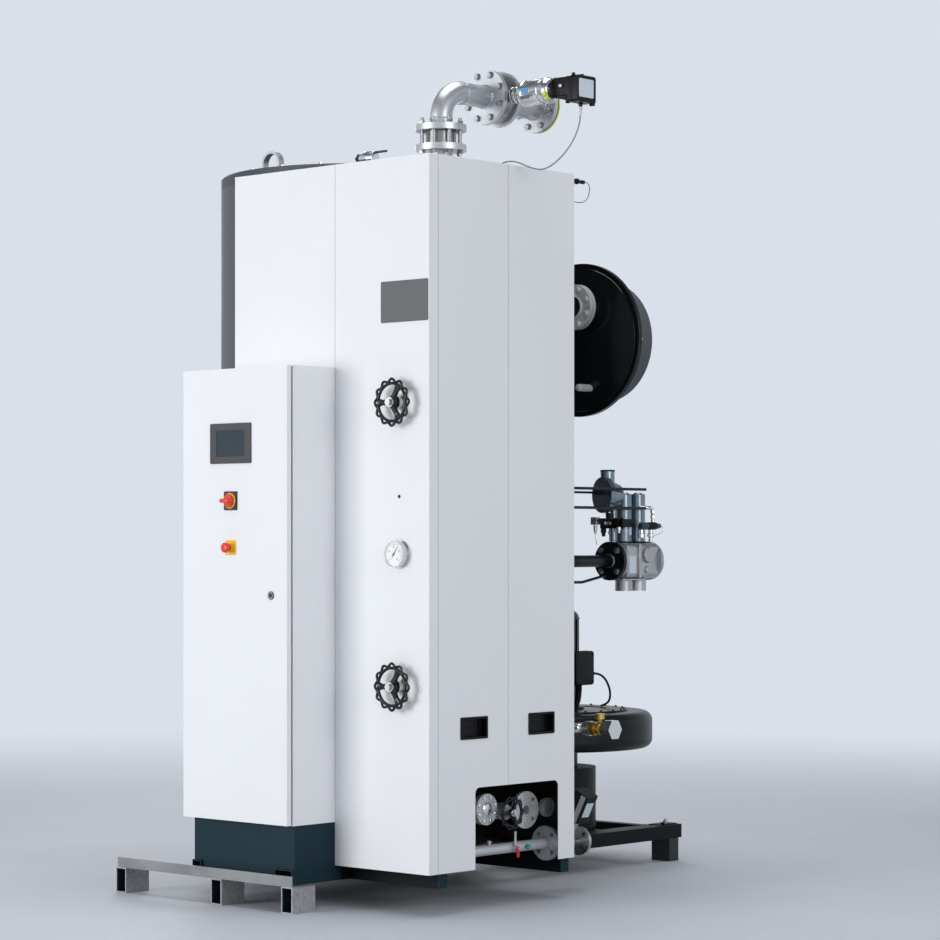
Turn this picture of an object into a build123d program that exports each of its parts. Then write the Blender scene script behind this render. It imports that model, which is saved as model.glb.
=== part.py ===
from build123d import *
import math
import os

os.makedirs("parts", exist_ok=True)

# The steam generator is modelled with X = 0 on the right side of its white casing, Y = 0 on the casing's
# front face and Z = 0 on the floor. X runs to the right along the front and Y from front to back. All sizes
# are millimetres. The files are written with their origin under the middle of the front right foot.

# Casing
casing_width = 1088.0
casing_depth = 854.0
casing_top = 2924.0
sheet = 2.0
panel_return = 22.0
panel_seam = 2.0
corner_return = 51.0
front_seam_x = -509.0
side_seam_y = 454.0
top_plate_drop = 10.0
seat = 0.3

# Side cut-out and grips
cutout_front = 262.0
cutout_back = 755.0
cutout_top = 482.0
cutout_radius = 24.0
grip_length = 146.0
grip_height = 75.0
grip_depth = 28.0
grip_z = 715.0
grip_front_y = 254.0
grip_back_y = 652.0
grip_rim = 6.0
grip_rim_proud = 2.5
grip_wall = 2.5

# Boiler
boiler_radius = 600.0
boiler_wall = 60.0
boiler_front_gap = 80.0
boiler_x = -1026.0
boiler_top_rise = 41.0
boiler_end = 50.0
boiler_end_chamfer = 6.0
foot_ring_inset = 40.0
foot_ring_width = 60.0
foot_ring_height = 30.0
eye_x = -1233.0
eye_y = 350.0
eye_radius = 52.0
eye_leg = 62.0
eye_thickness = 10.0
eye_width = 30.0
vent_x = -992.0
vent_radius = 30.0
vent_length = 78.0
vent_neck = 96.0
vent_lever_radius = 5.0
vent_lever_length = 70.0
vent_lever_rise = 22.0

# Skid
foot_height = 103.0
foot_width = 62.0
foot_depth = 124.0
foot_wall = 5.0
foot_right_faces = (-466.0, -870.0, -1446.0)
bar_front = -275.0
bar_leg = 42.0
bar_thickness = 5.0
beam_height = 60.0
beam_wall = 5.0
beam_back = 2205.0
right_beam = (-612.0, -512.0)
middle_beam = (-1088.0, -1038.0)
left_beam = (-1440.0, -1340.0)
left_beam_front = 120.0
cross_width = 46.0
casing_cross_front = 110.0
casing_cross_inset = 23.0
cross_reach = 30.0
rear_cross_y = (1740.0, 2050.0)
rear_foot_width = 103.0
rear_foot_depth = 64.0
rear_foot_inset = 25.0

# Control cabinet
cabinet_width = 603.0
cabinet_left = -1113.0
cabinet_depth = 260.0
cabinet_bottom = 334.0
cabinet_top = 2124.0
cabinet_sheet = 3.0
cabinet_lip = 22.0
door_depth = 23.0
door_gap = 7.0
door_inset = 2.0
plinth_left_inset = 25.0
plinth_front_inset = 40.0
plinth_sheet = 4.0

# Door fittings
control_x = -830.0
display_width = 235.0
display_height = 159.0
display_z = 1826.5
display_proud = 5.0
display_corner = 6.0
screen_width = 165.0
screen_height = 104.0
screen_drop = 1.5
switch_z = 1600.0
switch_plate = 75.0
switch_plate_proud = 5.0
switch_collar_radius = 31.0
switch_collar_height = 5.0
knob_disc_radius = 27.0
knob_disc_height = 10.0
knob_bar_length = 54.0
knob_bar_width = 18.0
knob_height = 34.0
stop_z = 1415.0
stop_plate = 58.0
stop_plate_proud = 4.0
stop_collar_radius = 17.0
stop_collar_height = 8.0
stop_neck_radius = 11.0
stop_neck_proud = 22.0
stop_cap_radius = 20.0
stop_cap_height = 19.0
stop_cap_edge = 5.0
stop_travel = 5.0
lock_x = -600.0
lock_z = 1229.0
lock_radius = 13.0
lock_proud = 4.0
hinge_inset = 9.0
hinge_heights = (560.0, 1229.0, 1900.0)
hinge_pin_radius = 3.0
hinge_knuckle_radius = 4.0
hinge_knuckle_height = 30.0
hinge_lug_height = 12.0
hinge_end_gap = 0.5
pin_clearance = 0.08

# Casing front fittings
wheel_x = -158.0
upper_wheel_z = 1975.0
lower_wheel_z = 880.0
wheel_radius = 96.0
wheel_lobe_radius = 17.0
wheel_lobes = 12
wheel_rim_inner = 66.0
wheel_thickness = 16.0
wheel_standoff = 42.0
wheel_hub_radius = 21.0
wheel_hub_length = 30.0
wheel_spoke_width = 26.0
wheel_spokes = 3
wheel_hole_radius = 5.5
stem_radius = 9.0
stem_nut_radius = 14.0
stem_nut_length = 10.0
stem_end_gap = 1.0
bonnet_radius = 28.0
bonnet_back = 60.0
gauge_z = 1391.0
gauge_radius = 51.0
gauge_neck_radius = 42.0
gauge_depth = 34.0
gauge_bezel = 6.0
gauge_lens_drop = 4.0
sample_hole_z = 1613.0
sample_hole_radius = 4.0

# Steam outlet pipework
riser_x = -140.0
riser_y = 216.0
riser_drop = 400.0
pipe_radius = 44.45
pipe_wall = 4.0
outlet_rise = 281.0
elbow_radius = 114.0
flange80_radius = 100.0
flange80_thickness = 24.0
flange80_pcd = 160.0
flange_holes = 8
flange_hole_radius = 9.0
riser_flange_rise = 39.0
check_valve_length = 54.0
check_valve_radius = 60.0
stud_radius = 7.0
stud_nut_radius = 12.0
stud_nut_height = 12.0
stud_overhang = 26.0
flange100_radius = 110.0
flange100_thickness = 20.0
flange100_pcd = 180.0
outlet_flange_y = 466.0
steam_valve_length = 64.0
steam_valve_radius = 98.0
spool_length = 200.0
spool_radius = 57.15
valve_neck_radius = 20.0
actuator_start = 17.0
actuator_radius = 52.0
actuator_length = 163.0
actuator_band = 3.0
positioner_length = 132.0
positioner_width = 113.0
positioner_height = 84.0
positioner_offset = 45.0
positioner_rise = 8.0
positioner_lid = 54.0
positioner_lid_height = 104.0
positioner_lid_drop = 5.0
positioner_corner = 12.0
gland_x = 274.0
gland_y = 571.0
gland_radius = 8.0
gland_length = 13.0
cable_radius = 3.0
cable_entry_radius = 12.0
cable_entry_run = 356.0
cable_entry_side = 103.0

# Drum at the back
drum_x = -477.0
drum_z = 2306.0
drum_front = 1450.0
drum_radius = 330.0
drum_rim = 22.0
drum_lip = 24.0
drum_dish = 46.0
drum_shell_radius = 262.0
drum_shell_length = 152.0
drum_flange_radius = 97.0
drum_flange_thickness = 16.0
drum_flange_gap = 4.0
drum_flange_x = 62.0
drum_flange_z = 133.0
drum_stub_radius = 50.0
drum_stub_length = 34.0
drum_knob_x = 76.0
drum_knob_z = -210.0
drum_knob_radius = 16.0
drum_knob_length = 50.0
duct_width = 180.0
duct_depth = 140.0
duct_wall = 4.0
duct_lap = 60.0
duct_rise = 100.0

# Gas train
gas_x = -250.0
gas_z = 1356.0
gas_pipe_radius = 25.0
gas_pipe_wall = 4.0
gas_pipe_inset = 190.0
gas_bend_radius = 76.0
gas_flange_radius = 82.5
gas_flange_thickness = 18.0
gas_flange_pcd = 125.0
gas_flange_y = 1378.0
impulse_line_radius = 6.0
impulse_line_z = 1268.0
impulse_line_rise = 32.0
impulse_line_run = 178.0
impulse_line_bend = 60.0
gas_body_length = 250.0
gas_body_width = 130.0
gas_body_height = 150.0
gas_body_corner = 24.0
gas_cap_bottom = 1228.0
gas_cap_radius = 37.0
gas_can_radius = 33.0
gas_can_pitch = 92.0
gas_can_top = 1642.0
governor_z = 1635.0
governor_radius = 76.0
governor_disc = 22.0
governor_cone = 60.0
governor_nose_radius = 46.0
governor_turn = 17.0
governor_reach = 77.0
governor_stem_radius = 14.0
gas_bar_radius = 6.0
gas_bar_heights = (1580.0, 1660.0)
gas_bar_overrun = 45.0
inlet_bar_rise = 10.0
inlet_bar_radius = 5.0
inlet_bar_fitting = 11.0
inlet_bar_fitting_length = 42.0

# Fan
fan_x = -878.0
fan_y = 1740.0
fan_radius = 445.0
fan_bottom = 520.0
fan_top = 683.0
fan_edge = 42.0
fan_ring_radius = 332.0
fan_ring_inner = 240.0
fan_ring_thickness = 8.0
motor_radius = 117.0
motor_top = 1131.0
motor_crown = 40.0
motor_rib_count = 24
motor_rib_depth = 9.0
terminal_box_depth = 88.0
terminal_box_width = 115.0
terminal_box_y = 1722.0
terminal_box_bottom = 806.0
terminal_box_top = 949.0
pedestal_radius = 192.0
pedestal_top = 432.0
pedestal_neck_radius = 110.0
motor_cable_radius = 5.0

# Feed header and drain behind the side cut-out
header_x = -200.0
header_z = 362.0
header_radius = 24.15
header_wall = 3.2
header_front = 330.0
header_back = 830.0
header_branch_y = 590.0
strainer_y = 431.0
strainer_z = 380.0
strainer_radius = 62.0
strainer_face = -92.0
feed_valve_y = 535.0
feed_wheel_radius = 70.0
feed_wheel_x = -52.0
feed_wheel_thickness = 12.0
feed_stem_radius = 6.0
inlet_y = 666.0
inlet_face = -92.0
inlet_radius = 75.0
inlet_pcd = 110.0
inlet_thickness = 16.0
union_y = 810.0
union_radius = 39.0
union_thickness = 18.0
union_face = -100.0
drain_x = -100.0
drain_rise = 55.0
drain_radius = 21.2
drain_wall = 3.2
drain_start_y = 300.0
drain_bend = 60.0
drain_flange_y = 788.0
drain_flange_radius = 70.0
drain_flange_thickness = 18.0
drain_flange_pcd = 100.0
drain_cock_y = 575.0
drain_cock_radius = 12.0
drain_stem_radius = 5.0
drain_stem_height = 66.0
lever_length = 46.0
lever_width = 16.0
lever_thickness = 4.0
lever_pin_radius = 4.0

# Blow-down valve and the side cock behind the casing
blowdown_x = -165.0
blowdown_rise = 37.0
blowdown_radius = 16.85
blowdown_start_inset = 32.0
blowdown_bend = 25.3
blowdown_flange_back = 218.0
blowdown_flange_radius = 60.0
blowdown_flange_thickness = 16.0
blowdown_flange_pcd = 85.0
blowdown_ball_back = 146.0
blowdown_ball_radius = 38.0
blowdown_tilt = 27.0
blowdown_neck = 112.0
blowdown_box_length = 125.0
blowdown_box_width = 76.0
side_line_x = -313.0
side_line_y = 1250.0
side_line_z = 653.0
side_line_radius = 21.2
side_line_bend = 40.0
bellows_radius = 31.0
bellows_start = -272.0
brass_start = -236.0
brass_end = -156.0
cock_radius = 27.0
cock_stem = 41.0
cock_top_radius = 20.0
cock_top_height = 24.0
cock_cap_end = -112.0
cock_cap_radius = 44.0

# Places that follow from the sizes above
beam_top = foot_height + beam_height
casing_bottom = beam_top + seat
casing_cross_y = (casing_cross_front, casing_depth - casing_cross_inset)
boiler_y = boiler_front_gap + boiler_radius
boiler_top = casing_top + boiler_top_rise
foot_ring_radius = boiler_radius - foot_ring_inset
cabinet_right = cabinet_left + cabinet_width
plinth_front = -cabinet_depth + plinth_front_inset
beam_front = bar_front + bar_leg + seat
riser_start = casing_top - riser_drop
riser_flange_z = casing_top + riser_flange_rise
outlet_z = casing_top + outlet_rise
gas_pipe_y = boiler_y + boiler_radius - gas_pipe_inset
drain_z = beam_top + drain_rise
blowdown_z = beam_top + blowdown_rise
blowdown_start_y = casing_depth - blowdown_start_inset
blowdown_ball_y = casing_depth + blowdown_ball_back
blowdown_flange_y = casing_depth + blowdown_flange_back
origin_x = foot_right_faces[0] - foot_width / 2
origin_y = bar_front + foot_depth / 2

UP = (0, 0, 1)
BACK = (0, 1, 0)
FRONT = (0, -1, 0)
RIGHT = (1, 0, 0)
ON_START = (Align.CENTER, Align.CENTER, Align.MIN)


def block(x0, x1, y0, y1, z0, z1):
    """A box between two corners."""
    return Pos((x0 + x1) / 2, (y0 + y1) / 2, (z0 + z1) / 2) * Box(abs(x1 - x0), abs(y1 - y0), abs(z1 - z0))


def rod(start, end, radius):
    """A round bar from one point to another."""
    a, b = Vector(*start), Vector(*end)
    place = Plane(origin=a, z_dir=(b - a).normalized()).location
    return place * Cylinder(radius, (b - a).length, align=ON_START)


def drum(x, y, z, radius, height):
    """An upright cylinder standing on a point."""
    return Pos(x, y, z) * Cylinder(radius, height, align=ON_START)


def facing(point, direction):
    """The place of a thing drawn on XY that looks along a level or upright direction, its X kept level."""
    x, y, z = direction
    return Plane(origin=point, x_dir=(1, 0, 0) if abs(z) > 0.9 else (-y, x, 0), z_dir=direction).location


def flange(start, direction, radius, thickness, bore, pcd=0.0, holes=0, hole_radius=0.0):
    """A round flange that starts at a point, with its bolt holes either side of the vertical."""
    face = Circle(radius)
    if bore:
        face -= Circle(bore)
    if holes:
        face -= PolarLocations(pcd / 2, holes, start_angle=180.0 / holes) * Circle(hole_radius)
    return facing(start, direction) * extrude(face, thickness)


def bent_pipe(points, bend, radius, wall):
    """A tube along straight runs joined by elbows of one radius."""
    route = FilletPolyline(*points, radius=bend)
    section = Plane(origin=route @ 0, z_dir=route % 0) * (Circle(radius) - Circle(radius - wall))
    return sweep(section, path=route)


def nut(point, direction, radius, height):
    """A six-sided nut or cap."""
    return facing(point, direction) * extrude(RegularPolygon(radius, 6), height)


def group(solids):
    """Like pieces that share one file."""
    return Compound(children=list(solids))


def save(node, shape):
    """One STEP file for one named piece, moved to the frame that the files share."""
    export_step(Pos(-origin_x, -origin_y, 0) * shape, f"parts/{node}.step")


# Skid: open square feet in front with a steel angle across them, and hollow beams welded into a frame

def front_foot(right_face):
    outer = block(right_face - foot_width, right_face, bar_front, bar_front + foot_depth, 0, foot_height)
    return outer - block(right_face - foot_width + foot_wall, right_face - foot_wall, bar_front,
                         bar_front + foot_depth, foot_wall, foot_height - foot_wall)


def rear_foot(beam):
    centre = (beam[0] + beam[1]) / 2
    foot_back = beam_back - rear_foot_inset
    return block(centre - rear_foot_width / 2, centre + rear_foot_width / 2, foot_back - rear_foot_depth,
                 foot_back, 0, foot_height - seat)


save("skid_feet", group([front_foot(face) for face in foot_right_faces]
                        + [rear_foot(beam) for beam in (left_beam, right_beam)]))

angle_profile = Polyline((0, 0), (bar_leg, 0), (bar_leg, bar_thickness), (bar_thickness, bar_thickness),
                         (bar_thickness, bar_leg), (0, bar_leg), close=True)
bar_start = Plane(origin=(foot_right_faces[2] - foot_width + 10.0, bar_front, foot_height + seat),
                  x_dir=BACK, z_dir=RIGHT)
save("front_bar", extrude(bar_start * make_face(angle_profile),
                          foot_right_faces[0] - foot_right_faces[2] + foot_width - 12.0))


def hollow_beam(beam, front):
    """A rectangular tube, open at its front end and closed at the back."""
    outer = block(beam[0], beam[1], front, beam_back, foot_height, beam_top)
    return outer - block(beam[0] + beam_wall, beam[1] - beam_wall, front, beam_back - beam_wall,
                         foot_height + beam_wall, beam_top - beam_wall)


def cross_beam(x0, x1, y):
    return block(x0, x1, y - cross_width / 2, y + cross_width / 2, foot_height, beam_top)


frame = hollow_beam(right_beam, beam_front) + hollow_beam(middle_beam, beam_front)
frame += hollow_beam(left_beam, left_beam_front)
frame += block(middle_beam[1], right_beam[0], plinth_front, plinth_front + cross_width,
               foot_height, beam_top)
for cross_y in casing_cross_y:
    frame += cross_beam(right_beam[1], -cross_reach, cross_y)
for cross_y in (casing_cross_y[1],) + rear_cross_y:
    frame += cross_beam(middle_beam[1], right_beam[0], cross_y)
    frame += cross_beam(left_beam[1], middle_beam[0], cross_y)
save("skid_frame", frame)

# Boiler: bottom on its foot ring, insulated shell and top, with a lifting eye and a vent valve

bottom = drum(boiler_x, boiler_y, beam_top + seat + foot_ring_height, boiler_radius, boiler_end)
bottom += drum(boiler_x, boiler_y, beam_top + seat, foot_ring_radius, foot_ring_height) - drum(
    boiler_x, boiler_y, beam_top + seat, foot_ring_radius - foot_ring_width, foot_ring_height)
save("boiler_bottom", bottom)

shell_bottom = beam_top + seat + foot_ring_height + boiler_end
shell_height = boiler_top - boiler_end - shell_bottom
save("boiler_shell", drum(boiler_x, boiler_y, shell_bottom, boiler_radius, shell_height)
     - drum(boiler_x, boiler_y, shell_bottom, boiler_radius - boiler_wall, shell_height))

top_disc = drum(boiler_x, boiler_y, boiler_top - boiler_end, boiler_radius, boiler_end)
save("boiler_top", chamfer(top_disc.edges().group_by(Axis.Z)[-1], boiler_end_chamfer))

def arch(radius):
    """An upright arch with its feet on the line Y = 0."""
    return Rectangle(2 * radius, eye_leg, align=(Align.CENTER, Align.MIN)) + Pos(0, eye_leg) * Circle(radius)


on_top = Plane(origin=(eye_x, eye_y, boiler_top), x_dir=RIGHT, z_dir=FRONT)
eye_shape = arch(eye_radius) - arch(eye_radius - eye_thickness)
save("lifting_eye", extrude(on_top * eye_shape, eye_width / 2, both=True))

vent_z = boiler_top + vent_neck
vent_end = vent_x + vent_length / 2
vent = drum(vent_x, boiler_y, boiler_top, 17.0, vent_neck)
vent += rod((vent_x - vent_length / 2, boiler_y, vent_z), (vent_end, boiler_y, vent_z), vent_radius)
vent += rod((vent_end - 10.0, boiler_y, vent_z + vent_lever_rise),
            (vent_end + vent_lever_length, boiler_y, vent_z + vent_lever_rise), vent_lever_radius)
vent += nut((vent_x - vent_length / 2 - 22.0, boiler_y, vent_z), RIGHT, 0.8 * vent_radius, 24.0)
save("vent_valve", vent)

# Casing: folded sheet panels with a return along every edge

def tray(width, height):
    """A panel lying on XY with its outer face at Z = 0 and its returns pointing up."""
    outer = Box(width, height, panel_return, align=(Align.MIN, Align.MIN, Align.MIN))
    return outer - Pos(sheet, sheet, sheet) * Box(width - 2 * sheet, height - 2 * sheet, panel_return,
                                                  align=(Align.MIN, Align.MIN, Align.MIN))


def front_tray(x0, x1):
    """A front panel from x0 to x1, with its face at Y = 0."""
    place = Plane(origin=(x1, 0, casing_bottom), x_dir=(-1, 0, 0), z_dir=BACK).location
    return place * tray(x1 - x0, casing_top - casing_bottom)


def side_tray(y0, y1):
    """A side panel from y0 to y1, with its face at X = 0."""
    place = Plane(origin=(0, y1, casing_bottom), x_dir=FRONT, z_dir=(-1, 0, 0)).location
    return place * tray(y1 - y0, casing_top - casing_bottom)


save("front_panel_left", front_tray(-casing_width, front_seam_x - panel_seam / 2))

corner_end = corner_return - panel_seam / 2
right_panel = front_tray(front_seam_x + panel_seam / 2, 0)
right_panel += block(-sheet, 0, 0, corner_end, casing_bottom, casing_top)
right_panel += block(-panel_return, 0, corner_end - sheet, corner_end, casing_bottom, casing_top)
for z, radius in ((upper_wheel_z, bonnet_radius), (lower_wheel_z, bonnet_radius),
                  (gauge_z, gauge_neck_radius), (sample_hole_z, sample_hole_radius)):
    right_panel -= rod((wheel_x, -sheet, z), (wheel_x, 2 * sheet, z), radius + seat)
save("front_panel_right", right_panel)

cutout_place = Plane(origin=(0, (cutout_front + cutout_back) / 2, casing_bottom), x_dir=BACK, z_dir=RIGHT)
cutout_shape = RectangleRounded(cutout_back - cutout_front, 2 * (cutout_top - casing_bottom), cutout_radius)
cutout = cutout_place.location * extrude(cutout_shape, 2 * panel_return, both=True)


def grip_hole(y):
    return block(-panel_return, sheet, y - grip_length / 2, y + grip_length / 2, grip_z - grip_height / 2,
                 grip_z + grip_height / 2)


save("side_panel_front", side_tray(corner_return + panel_seam / 2, side_seam_y - panel_seam / 2) - cutout
     - grip_hole(grip_front_y))
save("side_panel_back", side_tray(side_seam_y + panel_seam / 2, casing_depth) - cutout
     - grip_hole(grip_back_y))


def grip_cup(y):
    """A moulded cup behind the hole with a thin rim on the panel's face."""
    place = Plane(origin=(0, y, grip_z), x_dir=BACK, z_dir=RIGHT).location
    cup = Pos(0, 0, -grip_depth) * extrude(Rectangle(grip_length - 2 * seat, grip_height - 2 * seat),
                                           grip_depth + grip_rim_proud)
    rim = RectangleRounded(grip_length + 2 * grip_rim, grip_height + 2 * grip_rim, grip_rim)
    cup += Pos(0, 0, seat) * extrude(rim, grip_rim_proud - seat)
    hollow = RectangleRounded(grip_length - 2 * grip_wall, grip_height - 2 * grip_wall, grip_rim)
    return place * (cup - Pos(0, 0, grip_wall - grip_depth) * extrude(hollow, 2 * grip_depth))


save("grip_cups", group([grip_cup(grip_front_y), grip_cup(grip_back_y)]))

back_left = boiler_x + math.sqrt(boiler_radius ** 2 - (casing_depth - boiler_y) ** 2)
back_panel = block(back_left, -panel_return - seat, casing_depth - panel_return, casing_depth,
                   casing_bottom, casing_top)
back_panel -= block(back_left + sheet, -panel_return - sheet - seat, casing_depth - panel_return - sheet,
                    casing_depth - sheet, casing_bottom + sheet, casing_top - sheet)
back_panel -= drum(boiler_x, boiler_y, 0, boiler_radius + seat, casing_top)
for x, z, radius in ((blowdown_x, blowdown_z, blowdown_radius),
                     (side_line_x, side_line_z, side_line_radius)):
    back_panel -= rod((x, casing_depth - 2 * panel_return, z), (x, casing_depth + sheet, z), radius + seat)
save("casing_back_panel", back_panel)

plate_top = casing_top - top_plate_drop
plate_edge = panel_return + seat
top_plate = block(-casing_width + plate_edge, -plate_edge, plate_edge, casing_depth - plate_edge,
                  plate_top - sheet, plate_top)
top_plate -= drum(boiler_x, boiler_y, 0, boiler_radius + seat, casing_top)
top_plate -= drum(riser_x, riser_y, plate_top - 2 * sheet, pipe_radius + seat, 4 * sheet)
top_plate -= drum(gland_x - cable_entry_run, gland_y - cable_entry_side, plate_top - 2 * sheet,
                  cable_entry_radius, 4 * sheet)
save("casing_top_plate", top_plate)

# Front fittings: two valves with lobed handwheels and the pressure gauge

def handwheel(radius, lobe, lobes, rim_inner, thickness, hub_radius, hub_length, spokes, spoke_width,
              bore, hole):
    """A lobed rim pierced between its lobes, spokes and a hub, lying on XY with its centre at the origin."""
    lobe_ring = PolarLocations(radius - lobe, lobes)
    rim = Circle(radius - 0.35 * lobe) + lobe_ring * Circle(lobe)
    rim -= Circle(rim_inner)
    if hole:
        rim -= lobe_ring * Circle(hole)
    reach = (rim_inner + hub_radius) / 2
    arms = Circle(hub_radius) + PolarLocations(reach, spokes, start_angle=60) * Rectangle(
        rim_inner - hub_radius + 8.0, spoke_width)
    wheel = extrude(rim, thickness / 2, both=True) + extrude(arms, 0.3 * thickness, both=True)
    wheel += Cylinder(hub_radius, hub_length)
    return wheel - Cylinder(bore, 2 * hub_length)


hub_front = -wheel_standoff - wheel_hub_length / 2
hub_back = -wheel_standoff + wheel_hub_length / 2
stems = []
for name, z in (("upper", upper_wheel_z), ("lower", lower_wheel_z)):
    wheel = handwheel(wheel_radius, wheel_lobe_radius, wheel_lobes, wheel_rim_inner, wheel_thickness,
                      wheel_hub_radius, wheel_hub_length, wheel_spokes, wheel_spoke_width,
                      stem_radius + pin_clearance, wheel_hole_radius)
    save(f"{name}_handwheel", facing((wheel_x, -wheel_standoff, z), FRONT) * wheel)
    stem = rod((wheel_x, 0, z), (wheel_x, hub_front - stem_end_gap, z), stem_radius)
    stem += nut((wheel_x, hub_front - stem_end_gap, z), FRONT, stem_nut_radius, stem_nut_length)
    stem += rod((wheel_x, bonnet_back, z), (wheel_x, hub_back + stem_end_gap, z), bonnet_radius)
    stems.append(stem)
save("valve_stems", group(stems))

gauge = rod((wheel_x, bonnet_back, gauge_z), (wheel_x, -seat, gauge_z), gauge_neck_radius)
gauge += rod((wheel_x, -seat, gauge_z), (wheel_x, -gauge_depth, gauge_z), gauge_radius)
gauge -= rod((wheel_x, -gauge_depth + gauge_lens_drop, gauge_z), (wheel_x, -gauge_depth, gauge_z),
             gauge_radius - gauge_bezel)
save("pressure_gauge", gauge)

# Control cabinet: plinth, hollow body, door on concealed hinges and the fittings in the door

plinth_left = cabinet_left + plinth_left_inset
plinth = block(plinth_left, cabinet_right, plinth_front, -seat, beam_top + seat, cabinet_bottom - seat)
save("cabinet_plinth", plinth - block(plinth_left + plinth_sheet, cabinet_right - plinth_sheet,
                                      plinth_front + plinth_sheet, -seat - plinth_sheet,
                                      beam_top + seat, cabinet_bottom - seat - plinth_sheet))

body_front = -cabinet_depth + door_depth + door_gap
body = block(cabinet_left, cabinet_right, body_front, -seat, cabinet_bottom, cabinet_top)
body -= block(cabinet_left + cabinet_sheet, cabinet_right - cabinet_sheet, body_front + cabinet_sheet,
              -seat - cabinet_sheet, cabinet_bottom + cabinet_sheet, cabinet_top - cabinet_sheet)
body -= block(cabinet_left + cabinet_lip, cabinet_right - cabinet_lip, body_front,
              body_front + 2 * cabinet_sheet, cabinet_bottom + cabinet_lip, cabinet_top - cabinet_lip)
save("cabinet_body", body)

door_left, door_right = cabinet_left + door_inset, cabinet_right - door_inset
door_bottom, door_top = cabinet_bottom + door_inset, cabinet_top - door_inset
door_face, door_back = -cabinet_depth, -cabinet_depth + door_depth
hinge_x, hinge_y = cabinet_left + hinge_inset, door_face + hinge_inset
lock_barrel = rod((lock_x, door_back - sheet, lock_z), (lock_x, door_face - lock_proud, lock_z), lock_radius)
door = block(door_left, door_right, door_face, door_back, door_bottom, door_top)
door -= block(door_left + sheet, door_right - sheet, door_face + sheet, door_back,
              door_bottom + sheet, door_top - sheet)
hinges = []
for z in hinge_heights:
    half = hinge_knuckle_height / 2
    for side in (-1, 1):
        lug_start = z + side * (half + hinge_end_gap)
        lug_end = lug_start + side * hinge_lug_height
        door += block(hinge_x - 5.0, hinge_x + 5.0, door_face + sheet / 2, hinge_y + 4.5, lug_start, lug_end)
    pin_end = half + hinge_lug_height
    door -= block(door_left - 1.0, door_left + sheet, hinge_y, door_back + 1.0,
                  z - half - 1.0, z + half + 1.0)
    door -= rod((hinge_x, hinge_y, z - pin_end - 2.0), (hinge_x, hinge_y, z + pin_end + 2.0),
                hinge_pin_radius + pin_clearance)
    knuckle = rod((hinge_x, hinge_y, z - half), (hinge_x, hinge_y, z + half), hinge_knuckle_radius)
    knuckle += rod((hinge_x, hinge_y, z - pin_end), (hinge_x, hinge_y, z + pin_end), hinge_pin_radius)
    knuckle += block(hinge_x, hinge_x + hinge_inset, hinge_y - 1.5, hinge_y + 1.5, z - half, z + half)
    knuckle += block(hinge_x + hinge_inset - 3.0, hinge_x + hinge_inset, hinge_y - 1.5, body_front,
                     z - half, z + half)
    hinges.append(knuckle)
save("cabinet_door_panel", door - lock_barrel)
save("cabinet_hinges", group(hinges))
save("door_lock", lock_barrel)

on_door = Plane(origin=(0, door_face, 0), x_dir=RIGHT, z_dir=FRONT)
display_frame = RectangleRounded(display_width, display_height, display_corner)
display = extrude(on_door * Pos(control_x, display_z) * display_frame, display_proud)
display -= extrude(on_door.offset(display_proud - screen_drop) * Pos(control_x, display_z)
                   * Rectangle(screen_width, screen_height), 2 * screen_drop)
save("display", display)

switch_base = extrude(on_door * Pos(control_x, switch_z) * Rectangle(switch_plate, switch_plate),
                      switch_plate_proud)
switch_base += extrude(on_door * Pos(control_x, switch_z) * Circle(switch_collar_radius),
                       switch_plate_proud + switch_collar_height)
stop_base = extrude(on_door * Pos(control_x, stop_z) * Rectangle(stop_plate, stop_plate), stop_plate_proud)
stop_base += extrude(on_door * Pos(control_x, stop_z) * Circle(stop_collar_radius),
                     stop_plate_proud + stop_collar_height)
stop_base -= extrude(on_door * Pos(control_x, stop_z) * Circle(stop_neck_radius + seat),
                     stop_plate_proud + stop_collar_height)
save("control_plates", group([switch_base, stop_base]))

on_switch = on_door.offset(switch_plate_proud + switch_collar_height + seat)
knob = extrude(on_switch * Pos(control_x, switch_z) * Circle(knob_disc_radius), knob_disc_height)
knob += extrude(on_switch * Pos(control_x, switch_z) * SlotOverall(knob_bar_length, knob_bar_width),
                knob_height)
save("switch_knob", knob)

neck_start = seat + stop_travel
button = extrude(on_door.offset(neck_start) * Pos(control_x, stop_z) * Circle(stop_neck_radius),
                 stop_neck_proud - neck_start)
cap = extrude(on_door.offset(stop_neck_proud) * Pos(control_x, stop_z) * Circle(stop_cap_radius),
              stop_cap_height)
save("stop_button", button + fillet(cap.edges().group_by(Axis.Y)[0], stop_cap_edge))

# Steam outlet: riser, check valve between long studs, elbow, control valve and the outlet flange

bore = pipe_radius - pipe_wall
lower_flange_top = riser_flange_z + flange80_thickness
upper_flange_bottom = lower_flange_top + check_valve_length
upper_flange_top = upper_flange_bottom + flange80_thickness
riser = drum(riser_x, riser_y, riser_start, pipe_radius, riser_flange_z - riser_start)
riser -= drum(riser_x, riser_y, riser_start, bore, riser_flange_z - riser_start)
riser += flange((riser_x, riser_y, riser_flange_z), UP, flange80_radius, flange80_thickness, bore,
                flange80_pcd, flange_holes, flange_hole_radius)
elbow_foot = (boiler_x + math.sqrt(boiler_radius ** 2 - (boiler_y - riser_y) ** 2), riser_y, riser_start)
save("outlet_riser", riser + rod(elbow_foot, (riser_x, riser_y, riser_start), pipe_radius)
     - drum(boiler_x, boiler_y, shell_bottom, boiler_radius + seat, shell_height)
     - drum(riser_x, riser_y, riser_start, bore, riser_flange_z))

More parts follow.
